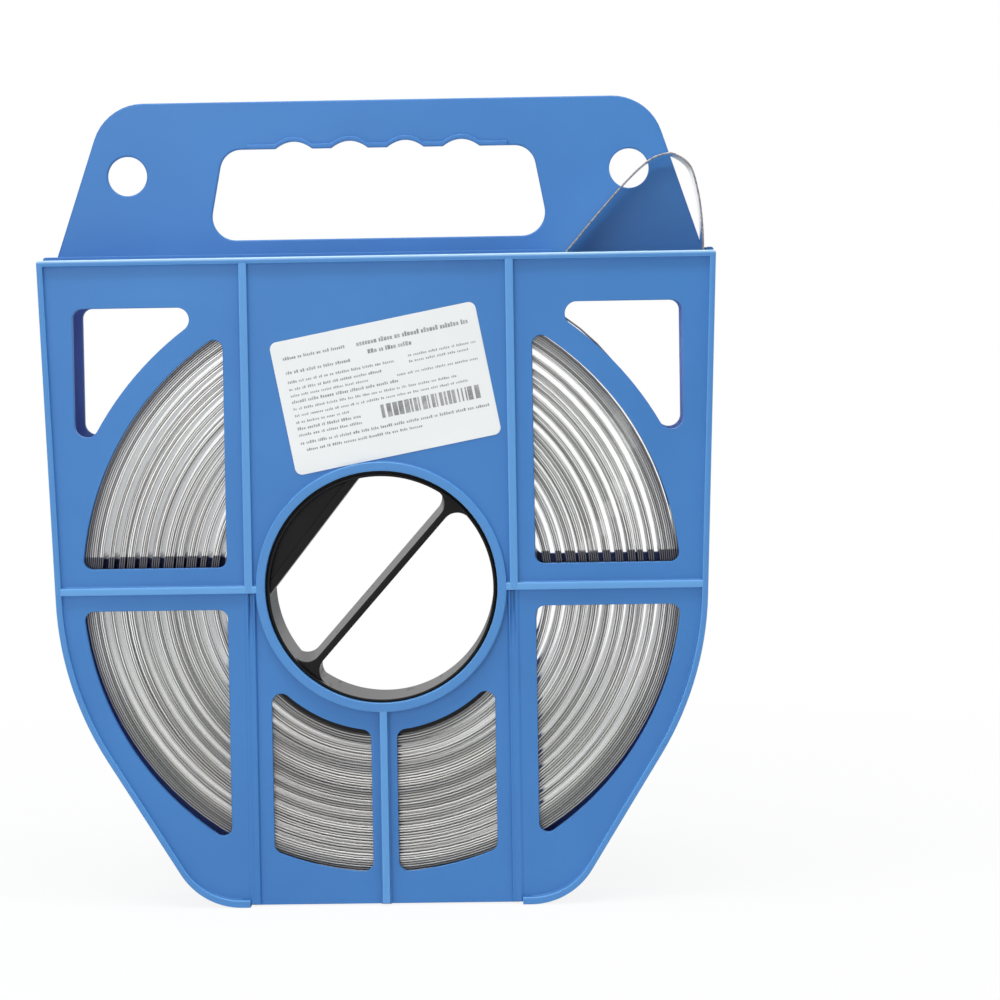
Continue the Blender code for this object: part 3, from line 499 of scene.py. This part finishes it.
blue_plastic, tree, shader = new_material("blue_moulded_plastic")
wear = add_wear(tree, 16.0, 1500.0, 45.0)
tone = ramp_through(tree, wear["Patches"], [(0.3, (0.042, 0.184, 0.480)), (0.7, (0.049, 0.208, 0.528))])
spot = split_up(tree, tree.nodes.new("ShaderNodeTexCoord").outputs["Object"])
from_middle = calculated(tree, "ABSOLUTE", spot["Y"])

# Painted highlight: the raised edges are painted lighter where light catches them, and the front's top edge
# most of all.
raised = ranged(tree, from_middle, RIM_FACE - 0.0010, RIM_FACE)
highlight_levels = ((0.0, 0.0), (0.45, 0.9), (0.80, 0.9), (0.97, 0.25))
painted_edge_highlight = ramp_through(tree, raised, [(position, (level,) * 3) for position, level in highlight_levels])
with_edge_highlight = mixed(tree, painted_edge_highlight, tone, (0.150, 0.400, 0.760, 1.0))

# Painted highlight along the front's top edge, paler still.
body_top = HUB_HEIGHT + BODY_TOP
top_edge = ranged(tree, spot["Z"], body_top - 0.0013, body_top - 0.0003)
front_only = calculated(tree, "LESS_THAN", spot["Y"], -(RIM_FACE - 0.0016))
top_edge_highlight = calculated(tree, "MULTIPLY", top_edge, front_only)
with_painted_highlights = mixed(tree, top_edge_highlight, with_edge_highlight, (0.450, 0.680, 0.900, 1.0))

# Painted reflected light: deep inside the walls, where they lie in their own shade, the blue is painted a
# lighter violet, as if lit by its own colour.
below_hub = calculated(tree, "MINIMUM", spot["Z"], HUB_HEIGHT)
across_body = add_node(tree, "ShaderNodeCombineXYZ", {"X": spot["X"], "Z": below_hub}).outputs["Vector"]
hub_line = {0: across_body, 1: (0.0, 0.0, HUB_HEIGHT)}
from_hub_line = add_node(tree, "ShaderNodeVectorMath", hub_line, "DISTANCE").outputs["Value"]
within_walls = (
    ("LESS_THAN", from_hub_line, 0.1334),
    ("LESS_THAN", spot["Z"], body_top - SIDE_WALL - 0.0006),
    ("GREATER_THAN", spot["Z"], 0.0028),
)
deep_inside = ranged(tree, from_middle, PANEL_INSIDE + 0.00015, PANEL_INSIDE - 0.0002)
for comparison, value, limit in within_walls:
    deep_inside = calculated(tree, "MULTIPLY", deep_inside, calculated(tree, comparison, value, limit))
with_painted_inside_light = mixed(tree, deep_inside, with_painted_highlights, (0.340, 0.330, 0.900, 1.0))
roughness = ranged(tree, wear["Marks"], 0.0, 1.0, 0.38, 0.50)
finish_surface(tree, shader, with_painted_inside_light, roughness, wear["Grain"], 0.00004, 0.25)
shader.inputs["Specular IOR Level"].default_value = 0.42

HANDLE_FACE = PANEL_INSIDE + 0.0002
HANDLE_BACK = HANDLE_FACE + 0.0028
HANDLE_SLOPE = 1.0 / math.tan(math.radians(71.4))
HANDLE_BASE_HALF_WIDTH = 0.137
HANDLE_TOP = 0.2035
GRIP_SLOT_TOP = 0.1834
HANDLE_CORNER = 0.022
HANDLE_EASE = 0.0007
FINGER_PITCH = 0.0236
FINGER_WIDTH = 0.0155
FINGER_DEPTH = 0.003
FINGERS = (-1.5, -0.5, 0.5, 1.5)
HANG_HOLE = (0.106, 0.1729)
HANG_HOLE_RADIUS = 0.0083
BACK_TOP = BODY_TOP + BACK_LEDGE_RISE
PIN_PLACES = ((0.1293, 0.1245), (-0.1293, 0.1245), (0.0648, -0.121), (-0.0648, -0.121))
PIN_RADIUS = 0.003
PIN_POST_RADIUS = 0.0047


def grip_edge(x, rise=0.0):
    """Height of the grip slot's top edge, with its four finger scallops."""
    height = GRIP_SLOT_TOP + rise
    for finger in FINGERS:
        away = (x - finger * FINGER_PITCH) / (FINGER_WIDTH / 2)
        height += FINGER_DEPTH * max(0.0, 1.0 - away**2)
    return height


def finger_stations(reach):
    """Places along the grip's top edge, close together in the scallops."""
    stations = [-reach, reach]
    for finger in FINGERS:
        stations += [finger * FINGER_PITCH + FINGER_WIDTH * (i / 14 - 0.5) for i in range(15)]
    return sorted(stations)


def grip_slot():
    corners = [(-0.0724, 0.1452, 0.010), (0.0724, 0.1452, 0.010)]
    corners += [(0.0652, GRIP_SLOT_TOP, 0.009), (-0.0652, GRIP_SLOT_TOP, 0.009)]
    border = rounded(corners)
    right = [point for point in border if point[0] > 0]
    left = [point for point in border if point[0] < 0]
    lowest = min(range(len(left)), key=lambda i: (left[i][1], -left[i][0]))
    left = left[lowest + 1 :] + left[: lowest + 1]
    return right + [(x, grip_edge(x)) for x in reversed(finger_stations(2 * FINGER_PITCH))] + left


shape = bmesh.new()
half_shell(shape, 1, BACK_TOP)
handle_foot = BACK_TOP - SIDE_WALL + 0.0005
base_half_width = HANDLE_BASE_HALF_WIDTH + (BODY_TOP - handle_foot) * HANDLE_SLOPE
top_half_width = HANDLE_BASE_HALF_WIDTH - (HANDLE_TOP - BODY_TOP) * HANDLE_SLOPE
handle = rounded(
    [
        (-base_half_width, handle_foot, 0.0),
        (base_half_width, handle_foot, 0.0),
        (top_half_width, HANDLE_TOP, HANDLE_CORNER),
        (-top_half_width, HANDLE_TOP, HANDLE_CORNER),
    ]
)
hang_hole = circle(HANG_HOLE, HANG_HOLE_RADIUS, 48)
holes = [grip_slot(), hang_hole, mirrored(hang_hole, flip_x=True)]
add_moulding(shape, handle, holes, HANDLE_FACE, HANDLE_BACK, HANDLE_EASE, HANDLE_EASE)
stations = finger_stations(0.055)
lip = [(x, grip_edge(x, 0.00005)) for x in stations]
lip += [(x, grip_edge(x, 0.002)) for x in reversed(stations)]
add_moulding(shape, lip, [], HANDLE_FACE - 0.0012, HANDLE_FACE + 0.001, 0.0004)
for place in PIN_PLACES:
    add_moulding(shape, circle(place, PIN_POST_RADIUS, 32), [], PARTING_GAP / 2, PANEL_INSIDE + 0.001)
    add_moulding(shape, circle(place, PIN_RADIUS, 32), [], -(PANEL_INSIDE - 0.0003), 0.002, 0.0006)
back_half = finish_mesh("tote_back_half", shape, blue_plastic)
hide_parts("back_shell")


# The reel core
# A glossy black moulded ring that the strap is wound on. Its thin spigots turn in the hub holes of
# the two halves. A drafted bar, a closed segment and a small lug cross its bore.

CORE_RADIUS = 0.0617
CORE_DROP = 0.0006
CORE_LIP = 0.0022
CORE_WEB = 0.0015
SPIGOT_RADIUS = 0.0477
SPIGOT_BORE = 0.0465
BACK_BORE = 0.0462
CORE_HALF_WIDTH = PANEL_INSIDE - 0.0003
SPIGOT_TIP = PANEL_INSIDE + 0.0022
BAR_ANGLE = 48.5
BAR_HALF_THICKNESS = 0.00135
BAR_DRAFT = 0.0007
BAR_LEAN = 0.0014
BAR_FLARE = 0.0065
SEGMENT_ANGLE = 51.8
SEGMENT_DISTANCE = 0.0352
SEGMENT_LIP = 0.0035
REACH_INTO_WALL = 0.0005
TURNED_STEPS = 144

black_plastic, tree, shader = new_material("black_core_plastic")
wear = add_wear(tree, 40.0, 700.0, 80.0)
tones = [(0.3, (0.0035, 0.0028, 0.0030)), (0.7, (0.0060, 0.0050, 0.0054))]
roughness = ranged(tree, wear["Marks"], 0.0, 1.0, 0.30, 0.40)
tone = ramp_through(tree, wear["Patches"], tones)
finish_surface(tree, shader, tone, roughness, wear["Grain"], 0.00003, 0.10)
shader.inputs["Specular IOR Level"].default_value = 0.22


def add_turned(shape, profile):
    """A closed profile of (radius, depth) turned round the hub's axis."""
    rings = []
    for i in range(TURNED_STEPS):
        angle = 2 * math.pi * i / TURNED_STEPS
        across, up = math.cos(angle), math.sin(angle)
        rings.append([shape.verts.new((r * across, y, r * up + HUB_HEIGHT)) for r, y in profile])
    for i, ring in enumerate(rings):
        after = rings[(i + 1) % TURNED_STEPS]
        for k in range(len(profile)):
            j = (k + 1) % len(profile)
            shape.faces.new((ring[k], ring[j], after[j], after[k]))


shape = bmesh.new()
ease = 0.0004
half_section = [
    (CORE_RADIUS, CORE_HALF_WIDTH, ease),
    (CORE_RADIUS - CORE_LIP, CORE_HALF_WIDTH, ease),
    (CORE_RADIUS - CORE_LIP, CORE_WEB, ease),
    (SPIGOT_RADIUS + CORE_LIP, CORE_WEB, ease),
    (SPIGOT_RADIUS + CORE_LIP, CORE_HALF_WIDTH, ease),
    (SPIGOT_RADIUS, CORE_HALF_WIDTH, 0.0),
    (SPIGOT_RADIUS, SPIGOT_TIP, ease),
]
back_section = half_section + [(BACK_BORE, SPIGOT_TIP, ease)]
front_section = half_section + [(SPIGOT_BORE, SPIGOT_TIP, ease)]
section = rounded(back_section + [(r, -y, rounding) for r, y, rounding in front_section[::-1]])
add_turned(shape, section)
bmesh.ops.recalc_face_normals(shape, faces=shape.faces)


def add_drafted(shape, front_loop, back_loop, front, back, ease):
    """A moulded web whose outline changes evenly from its front face to its back face."""
    rings = eased_rings(anticlockwise(front_loop), front, ease, 1)
    made = add_rings(shape, rings + [(anticlockwise(back_loop), back)])
    add_cap(shape, [made[0]], True)
    add_cap(shape, [made[-1]], False)


def bore_bar(half_thickness):
    """The bar's outline: straight sides that flare into the bore's wall at both ends."""
    height = half_thickness + BAR_FLARE
    centre = (math.sqrt((SPIGOT_BORE - BAR_FLARE) ** 2 - height**2), height)
    meets = angle_of(centre)
    upper_flare = arc(centre, BAR_FLARE, -90.0, meets, (meets + 90.0) / 10)
    end = arc((0, 0), SPIGOT_BORE + REACH_INTO_WALL, meets, -meets, meets / 3)
    half = upper_flare + end + mirrored(upper_flare, flip_z=True)[::-1]
    return turned_by(half + [(-x, -z) for x, z in half], BAR_ANGLE)


def bore_segment(distance):
    """The part of the bore beyond a straight line, with its end points on the bore's wall."""
    radius = SPIGOT_BORE + REACH_INTO_WALL
    reach = math.degrees(math.acos(distance / radius))
    return turned_by(arc((0, 0), radius, 90.0 - reach, 90.0 + reach, 3.0), SEGMENT_ANGLE)


lean = turned_by([(0.0, BAR_LEAN)], BAR_ANGLE)[0]
bar_front = bore_bar(BAR_HALF_THICKNESS)
bar_back = [(x + lean[0], z + lean[1]) for x, z in bore_bar(BAR_HALF_THICKNESS + BAR_DRAFT)]
add_drafted(shape, bar_front, bar_back, -CORE_HALF_WIDTH, CORE_HALF_WIDTH, ease)
inner, outer = bore_segment(SEGMENT_DISTANCE), bore_segment(SEGMENT_DISTANCE + SEGMENT_LIP)
add_moulding(shape, inner, [], -CORE_HALF_WIDTH + 0.0006, CORE_HALF_WIDTH, ease, ease)
reach = (len(inner) - len(outer)) // 2 + 1
chord = inner[:reach] + [outer[0], outer[-1]] + inner[-reach:]
add_moulding(shape, chord, [], -CORE_HALF_WIDTH, -CORE_HALF_WIDTH + 0.002, 0.0003)
low_lug, high_lug = (rectangle(-0.0335, -0.0287, -0.0362, top) for top in (-0.0318, -0.0299))
add_drafted(shape, low_lug, high_lug, -CORE_HALF_WIDTH + 0.0004, CORE_HALF_WIDTH, 0.0003)
bmesh.ops.translate(shape, verts=shape.verts, vec=(0.0, 0.0, -CORE_DROP))
core = finish_mesh("reel_core_moulding", shape, black_plastic)
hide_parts("reel_core")


# The strap
# One length of flat stainless strip, wound fifty-two times on the core in bunches with air between
# them, closer together at the bottom. The last turn springs outwards, leaves through the slot and
# loops back into it.

TURNS = 52
TURN_PITCH = 0.00086
FIRST_RADIUS = CORE_RADIUS + 0.0007 + STRAP_THICKNESS / 2
TOTAL_AIR = 0.0172
BOTTOM_TURN = -0.233
STEPS_PER_TURN = 90
LEAVES_AT = (0.1356, BODY_TOP)
FREE_LOOP = (
    (0.0, 0.0),
    (0.0005, 0.0146),
    (0.0022, 0.0262),
    (0.0050, 0.0350),
    (0.0106, 0.0396),
    (0.0151, 0.0401),
    (0.0221, 0.0373),
    (0.0313, 0.0291),
    (0.0454, 0.0135),
    (0.0552, 0.0019),
    (0.0591, -0.0029),
)

chance = random.Random(11)
gaps = []
turn = 0
while turn < TURNS - 9:
    turn += chance.choice((2, 3, 3, 4, 4, 5))
    gaps.append((turn + BOTTOM_TURN + chance.uniform(-0.08, 0.08), chance.uniform(0.35, 1.4)))
gap_sum = sum(size for _, size in gaps)
side_shift = [chance.uniform(-0.00022, 0.00022) for _ in range(TURNS + 3)]


def eased(share):
    share = min(max(share, 0.0), 1.0)
    return share * share * (3.0 - 2.0 * share)


def coil_radius(turn, angle):
    """Radius of the strip's middle, with the air between the bunches sunk at the bottom."""
    bunched = sum(size * eased((turn - place) / 0.3 + 0.5) for place, size in gaps) / gap_sum
    from_bottom = abs((math.degrees(angle) + 90.0 + 180.0) % 360.0 - 180.0)
    sag = math.exp(-((from_bottom / 60.0) ** 2))
    air = bunched + (turn / TURNS - bunched) * 0.60 * sag
    return FIRST_RADIUS + turn * TURN_PITCH + TOTAL_AIR * air * (1.0 - 0.16 * sag + 0.03 * math.sin(angle))


def smooth_through(points, steps):
    """A curve through all the points, with some steps between each two."""
    smooth = []
    for i in range(len(points) - 1):
        near = (points[max(i - 1, 0)], points[i], points[i + 1], points[min(i + 2, len(points) - 1)])
        for j in range(steps):
            t = j / steps
            weights = (
                -0.5 * t + t**2 - 0.5 * t**3,
                1.0 - 2.5 * t**2 + 1.5 * t**3,
                0.5 * t + 2.0 * t**2 - 1.5 * t**3,
                -0.5 * t**2 + 0.5 * t**3,
            )
            smooth.append(tuple(sum(w * p[k] for w, p in zip(weights, near)) for k in (0, 1)))
    return smooth + [points[-1]]


def between(start, end, share):
    return start + (end - start) * share


SPRING_START, SPRING_LENGTH, SPRING_HEIGHT = 8.0, 100.0, 0.0108
leaving_radius = coil_radius(TURNS, math.radians(-6.0))
leaving = math.atan2(LEAVES_AT[1], LEAVES_AT[0]) - math.acos(leaving_radius / math.hypot(*LEAVES_AT))
route = []
for i in range(TURNS * STEPS_PER_TURN + 1):
    turn = i / STEPS_PER_TURN
    angle = leaving + 2 * math.pi * turn
    radius = coil_radius(turn, angle)
    sprung = (math.degrees(angle - leaving) - 360.0 * (TURNS - 1) - SPRING_START) / SPRING_LENGTH
    if 0.0 < sprung < 1.0:
        radius += SPRING_HEIGHT * math.sin(math.pi * sprung) ** 2
    whole = int(turn)
    sideways = between(side_shift[whole], side_shift[whole + 1], eased(turn - whole))
    route.append((radius * math.cos(angle), radius * math.sin(angle), sideways))
last = route[-1]
tail = [(between(LEAVES_AT[0], last[0], 0.1), between(LEAVES_AT[1], last[1], 0.1))]
straight = [tuple(between(last[k], tail[0][k], i / 8) for k in (0, 1)) for i in range(1, 8)]
tail += [(LEAVES_AT[0] - inward, LEAVES_AT[1] + up) for inward, up in FREE_LOOP]
route += [(x, z, last[2]) for x, z in straight + smooth_through(tail, 6)]

half_thick, half_wide = STRAP_THICKNESS / 2, STRAP_WIDTH / 2
corner = [(0.0, 0.00022), (0.00008, 0.00007), (0.00022, 0.0)]
corner = [(half_thick - a, half_wide - y) for a, y in corner]
strip_section = corner + [(-a, y) for a, y in corner[::-1]]
strip_section += [(-a, -y) for a, y in strip_section]
shape = bmesh.new()
rings = []
for i, (x, z, sideways) in enumerate(route):
    before, after = route[max(i - 1, 0)], route[min(i + 1, len(route) - 1)]
    along = math.hypot(after[0] - before[0], after[1] - before[1])
    out_x, out_z = (after[1] - before[1]) / along, -(after[0] - before[0]) / along
    spots = [(x + out_x * a, sideways + y, z + out_z * a + HUB_HEIGHT) for a, y in strip_section]
    rings.append([shape.verts.new(spot) for spot in spots])
for ring, after in zip(rings, rings[1:]):
    for k in range(len(strip_section)):
        j = (k + 1) % len(strip_section)
        shape.faces.new((ring[k], after[k], after[j], ring[j]))
shape.faces.new(rings[0])
shape.faces.new(rings[-1][::-1])
bmesh.ops.recalc_face_normals(shape, faces=shape.faces)

stainless, tree, shader = new_material("cold_rolled_stainless")
wear = add_wear(tree, 55.0, 1800.0, 120.0)
place = tree.nodes.new("ShaderNodeTexCoord").outputs
flattened = {"Vector": place["Object"], "Location": (0.0, 0.0, -HUB_HEIGHT), "Scale": (1.0, 0.0, 1.0)}
from_hub = add_node(tree, "ShaderNodeMapping", flattened).outputs["Vector"]
radius_here = add_node(tree, "ShaderNodeVectorMath", {0: from_hub}, "LENGTH").outputs["Value"]
height_here = split_up(tree, from_hub)["Z"]


def noise_by_radius(scale, detail):
    """A value that changes from turn to turn and stays the same along a turn."""
    noise = tree.nodes.new("ShaderNodeTexNoise")
    noise.noise_dimensions = "1D"
    noise.inputs["Scale"].default_value = scale
    noise.inputs["Detail"].default_value = detail
    tree.links.new(radius_here, noise.inputs["W"])
    return noise.outputs["Fac"]


# The turns' edges differ in tone from turn to turn and take a slower, darker tone low down; painted shade
# darkens the outermost turns and the edges just above the cross rib.
tones = [(0.36, (0.36, 0.350, 0.340)), (0.60, (0.98, 0.970, 0.95))]
edge_tone = ramp_through(tree, noise_by_radius(760.0, 1.0), tones)
tones = [(0.35, (0.24, 0.230, 0.220)), (0.65, (0.66, 0.635, 0.600))]
bunch_tone = ramp_through(tree, noise_by_radius(190.0, 0.0), tones)
low_down = ranged(tree, height_here, -0.020, -0.075, 0.0, 0.80, "SMOOTHSTEP")
slower_tone_low_down = mixed(tree, low_down, edge_tone, bunch_tone)
# Painted shade: the outermost turns darken where the side wall shades them.
outermost = ranged(tree, radius_here, 0.1175, 0.1235, 0.0, 0.75)
with_painted_outer_shade = mixed(tree, outermost, slower_tone_low_down, (0.200, 0.190, 0.195, 1.0))
face_tone = ramp_through(tree, wear["Patches"], [(0.3, (0.95, 0.945, 0.94)), (0.7, (0.985, 0.98, 0.975))])
sideways = calculated(tree, "ABSOLUTE", split_up(tree, place["Normal"])["Y"])
is_edge = ranged(tree, sideways, 0.2, 0.7)
metal = mixed(tree, is_edge, face_tone, with_painted_outer_shade)
# Painted shade on the edges at the bottom of the upper windows, just above the cross rib.
above_rib = ranged(tree, height_here, 0.0133, 0.0138)
below_rib = calculated(tree, "LESS_THAN", height_here, 0.002)
open_to_light = calculated(tree, "MAXIMUM", above_rib, below_rib)
with_painted_window_shade = mixed(tree, open_to_light, (0.150, 0.145, 0.165, 1.0), metal)
roughness = ranged(tree, is_edge, 0.0, 1.0, 0.20, 0.36)
finish_surface(tree, shader, with_painted_window_shade, roughness, wear["Grain"], 0.00002, 0.2)
shader.inputs["Metallic"].default_value = 1.0
strap = finish_mesh("wound_strap", shape, stainless)
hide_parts("steel_strap")


# The front half of the tote
# The same moulding without a handle. Sockets inside take the pins of the back half, and its ribs,
# ring and rim stand out from the panel.

SOCKET_RADIUS = PIN_RADIUS + 0.0003

shape = bmesh.new()
half_shell(shape, -1, BODY_TOP)
for place in PIN_PLACES:
    post, socket = circle(place, PIN_POST_RADIUS, 32), circle(place, SOCKET_RADIUS, 32)
    add_moulding(shape, post, [socket], -PANEL_INSIDE - 0.001, -PARTING_GAP / 2)
front_half = finish_mesh("tote_front_half", shape, blue_plastic)
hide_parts("front_shell")


# The label
# A white satin paper sticker with rounded corners, stuck slightly askew above the hub. Its print is
# only rows of small grey marks and an even block of stripes, and says nothing.

LABEL_WIDTH = 0.087
LABEL_HEIGHT = 0.056
LABEL_TILT = 10.9
LABEL_CENTRE = (0.0031, 0.0823)
LABEL_BACK = -(PANEL_OUTSIDE + 0.0001)

label_paper, tree, shader = new_material("label_paper")
wear = add_wear(tree, 30.0, 1200.0, 30.0)
tone = ramp_through(tree, wear["Patches"], [(0.3, (0.790, 0.805, 0.795)), (0.7, (0.830, 0.842, 0.832))])
roughness = ranged(tree, wear["Marks"], 0.0, 1.0, 0.45, 0.60)
finish_surface(tree, shader, tone, roughness, wear["Grain"], 0.00002, 0.2)
label_ink, tree, shader = new_material("label_ink")
wear = add_wear(tree, 400.0, 2500.0, 200.0)
tone = ramp_through(tree, wear["Patches"], [(0.3, (0.20, 0.20, 0.205)), (0.7, (0.44, 0.44, 0.45))])
roughness = ranged(tree, wear["Grain"], 0.0, 1.0, 0.45, 0.65)
finish_surface(tree, shader, tone, roughness)


def on_label(points):
    return [(x + LABEL_CENTRE[0], z + LABEL_CENTRE[1]) for x, z in turned_by(points, LABEL_TILT)]


shape = bmesh.new()
half_long, half_tall = LABEL_WIDTH / 2, LABEL_HEIGHT / 2
sticker = on_label(rectangle(-half_long, half_long, -half_tall, half_tall, 0.003))
add_moulding(shape, sticker, [], LABEL_BACK - 0.0002, LABEL_BACK, 0.00006)
label = finish_mesh("label_sticker", shape, label_paper)
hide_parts("label")

shape = bmesh.new()
chance = random.Random(5)
# Each row's height on the label, its left and right end, and how tall its marks are.
rows = [
    (0.0205, -0.039, -0.016, 0.0013),
    (0.0205, -0.008, 0.039, 0.0020),
    (0.0165, -0.004, 0.012, 0.0018),
    (0.0145, -0.039, -0.017, 0.0013),
    (0.0105, -0.039, 0.006, 0.0011),
    (0.0075, -0.039, -0.004, 0.0011),
    (0.0115, 0.012, 0.040, 0.0010),
    (0.0090, 0.012, 0.036, 0.0010),
    (0.0045, 0.006, 0.040, 0.0010),
    (0.0048, -0.039, -0.008, 0.0010),
    (0.0022, -0.039, 0.004, 0.0013),
    (-0.0008, -0.039, 0.030, 0.0010),
    (-0.0036, -0.039, 0.034, 0.0010),
    (-0.0064, -0.039, -0.018, 0.0010),
    (-0.0091, -0.039, -0.014, 0.0012),
    (-0.0118, -0.039, -0.016, 0.0011),
    (-0.0152, -0.039, 0.037, 0.0012),
    (-0.0182, -0.037, 0.009, 0.0011),
]
LETTER_GAP, WORD_GAP = 0.00028, 0.0007
STRIPES = (-0.0035, 0.0375, -0.0118, -0.0062)
marks = []
for height, left, right, tall in rows:
    x = left
    while x < right - 0.001:
        for _ in range(chance.randint(2, 7)):
            wide = chance.uniform(0.35, 0.62) * tall
            low = height - tall / 2
            marks.append((x, x + wide, low, low + tall * chance.choice((0.7, 0.75, 1.0))))
            x += wide + LETTER_GAP
        x += WORD_GAP
x = STRIPES[0]
while x < STRIPES[1]:
    stripe = chance.choice((0.0006, 0.0009, 0.0014, 0.0020))
    marks.append((x, x + stripe, *STRIPES[2:]))
    x += stripe + chance.choice((0.0004, 0.0006, 0.0010))
for left, right, low, high in marks:
    box = on_label(rectangle(left, right, low, high))
    add_moulding(shape, box, [], LABEL_BACK - 0.00023, LABEL_BACK - 0.00019)
finish_mesh("label_print", shape, label_ink)


# The floor and the light
# A plain white sweep under a soft overhead and front light, and a narrow lamp along the top edges,
# as in a catalogue picture. The white round the object comes from the floor and the world
# themselves, and the floor keeps a faint shadow.

floor_mesh = bpy.data.meshes.new("floor")
floor_mesh.from_pydata([(-8, -8, 0), (8, -8, 0), (8, 12, 0), (-8, 12, 0)], [], [(0, 1, 2, 3)])
floor = bpy.data.objects.new("floor", floor_mesh)
bpy.context.scene.collection.objects.link(floor)
floor_white, tree, shader = new_material("floor_white")
shader.inputs["Base Color"].default_value = (0.9, 0.9, 0.9, 1.0)
shader.inputs["Roughness"].default_value = 0.9
shader.inputs["Specular IOR Level"].default_value = 0.0
WHITE = (1.0, 1.0, 1.0, 1.0)
glow = add_node(tree, "ShaderNodeEmission", {"Color": WHITE}).outputs["Emission"]
paths = tree.nodes.new("ShaderNodeLightPath").outputs
place = tree.nodes.new("ShaderNodeTexCoord").outputs["Object"]
away = add_node(tree, "ShaderNodeVectorMath", {0: place}, "LENGTH").outputs["Value"]
seen = calculated(tree, "MULTIPLY", paths["Is Camera Ray"], ranged(tree, away, 0.15, 0.60, 0.88))
blend = add_node(tree, "ShaderNodeMixShader", {"Fac": seen, 1: shader.outputs["BSDF"], 2: glow})
tree.links.new(blend.outputs["Shader"], tree.nodes["Material Output"].inputs["Surface"])
floor_mesh.materials.append(floor_white)

world = bpy.data.worlds.new("studio")
bpy.context.scene.world = world
world.use_nodes = True
tree = world.node_tree
sky = tree.nodes["Background"]
sky.inputs["Color"].default_value = (0.92, 0.96, 1.0, 1.0)
sky.inputs["Strength"].default_value = 0.42
direction = split_up(tree, tree.nodes.new("ShaderNodeTexCoord").outputs["Generated"])
dim_front = ranged(tree, direction["Y"], -0.45, 0.25, 0.30)
room = add_node(tree, "ShaderNodeBackground", {"Color": dim_front}).outputs["Background"]
white = add_node(tree, "ShaderNodeBackground", {"Color": WHITE}).outputs["Background"]
paths = tree.nodes.new("ShaderNodeLightPath").outputs
light = {"Fac": paths["Is Glossy Ray"], 1: sky.outputs["Background"], 2: room}
reflected = add_node(tree, "ShaderNodeMixShader", light).outputs["Shader"]
seen = calculated(tree, "MAXIMUM", paths["Is Camera Ray"], paths["Is Transmission Ray"])
backdrop = add_node(tree, "ShaderNodeMixShader", {"Fac": seen, 1: reflected, 2: white})
tree.links.new(backdrop.outputs["Shader"], tree.nodes["World Output"].inputs["Surface"])


def add_softbox(name, place, aim, width, height, power):
    lamp = bpy.data.lights.new(name, "AREA")
    lamp.shape = "RECTANGLE"
    lamp.size, lamp.size_y, lamp.energy = width, height, power
    softbox = bpy.data.objects.new(name, lamp)
    softbox.location = place
    softbox.rotation_euler = (Vector(aim) - Vector(place)).to_track_quat("-Z", "Y").to_euler()
    bpy.context.scene.collection.objects.link(softbox)


add_softbox("overhead", (-0.2, -0.35, 1.5), (0.0, 0.0, 0.2), 1.4, 0.8, 9.5)
add_softbox("front", (-0.7, -2.0, 0.9), (0.0, 0.0, 0.15), 1.6, 1.4, 13.5)
add_softbox("edge_light", (0.03, -0.25, 0.95), (0.0, 0.0, 0.27), 1.0, 0.08, 2.6)

bpy.context.scene.view_settings.view_transform = "Standard"

lens = bpy.data.cameras.new("photo_camera")
lens.lens = 94.81
lens.sensor_width = 36.0
lens.shift_y = -0.1
camera = bpy.data.objects.new("photo_camera", lens)
across, upright = (0.999722, 0.017123, -0.016181), (0.015540, 0.036902, 0.999198)
backwards = (0.017707, -0.999172, 0.036625)
turned = Matrix((across, upright, backwards)).transposed().to_4x4()
camera.matrix_world = Matrix.Translation((0.06983, -1.10211, 0.25)) @ turned
bpy.context.scene.collection.objects.link(camera)
bpy.context.scene.camera = camera
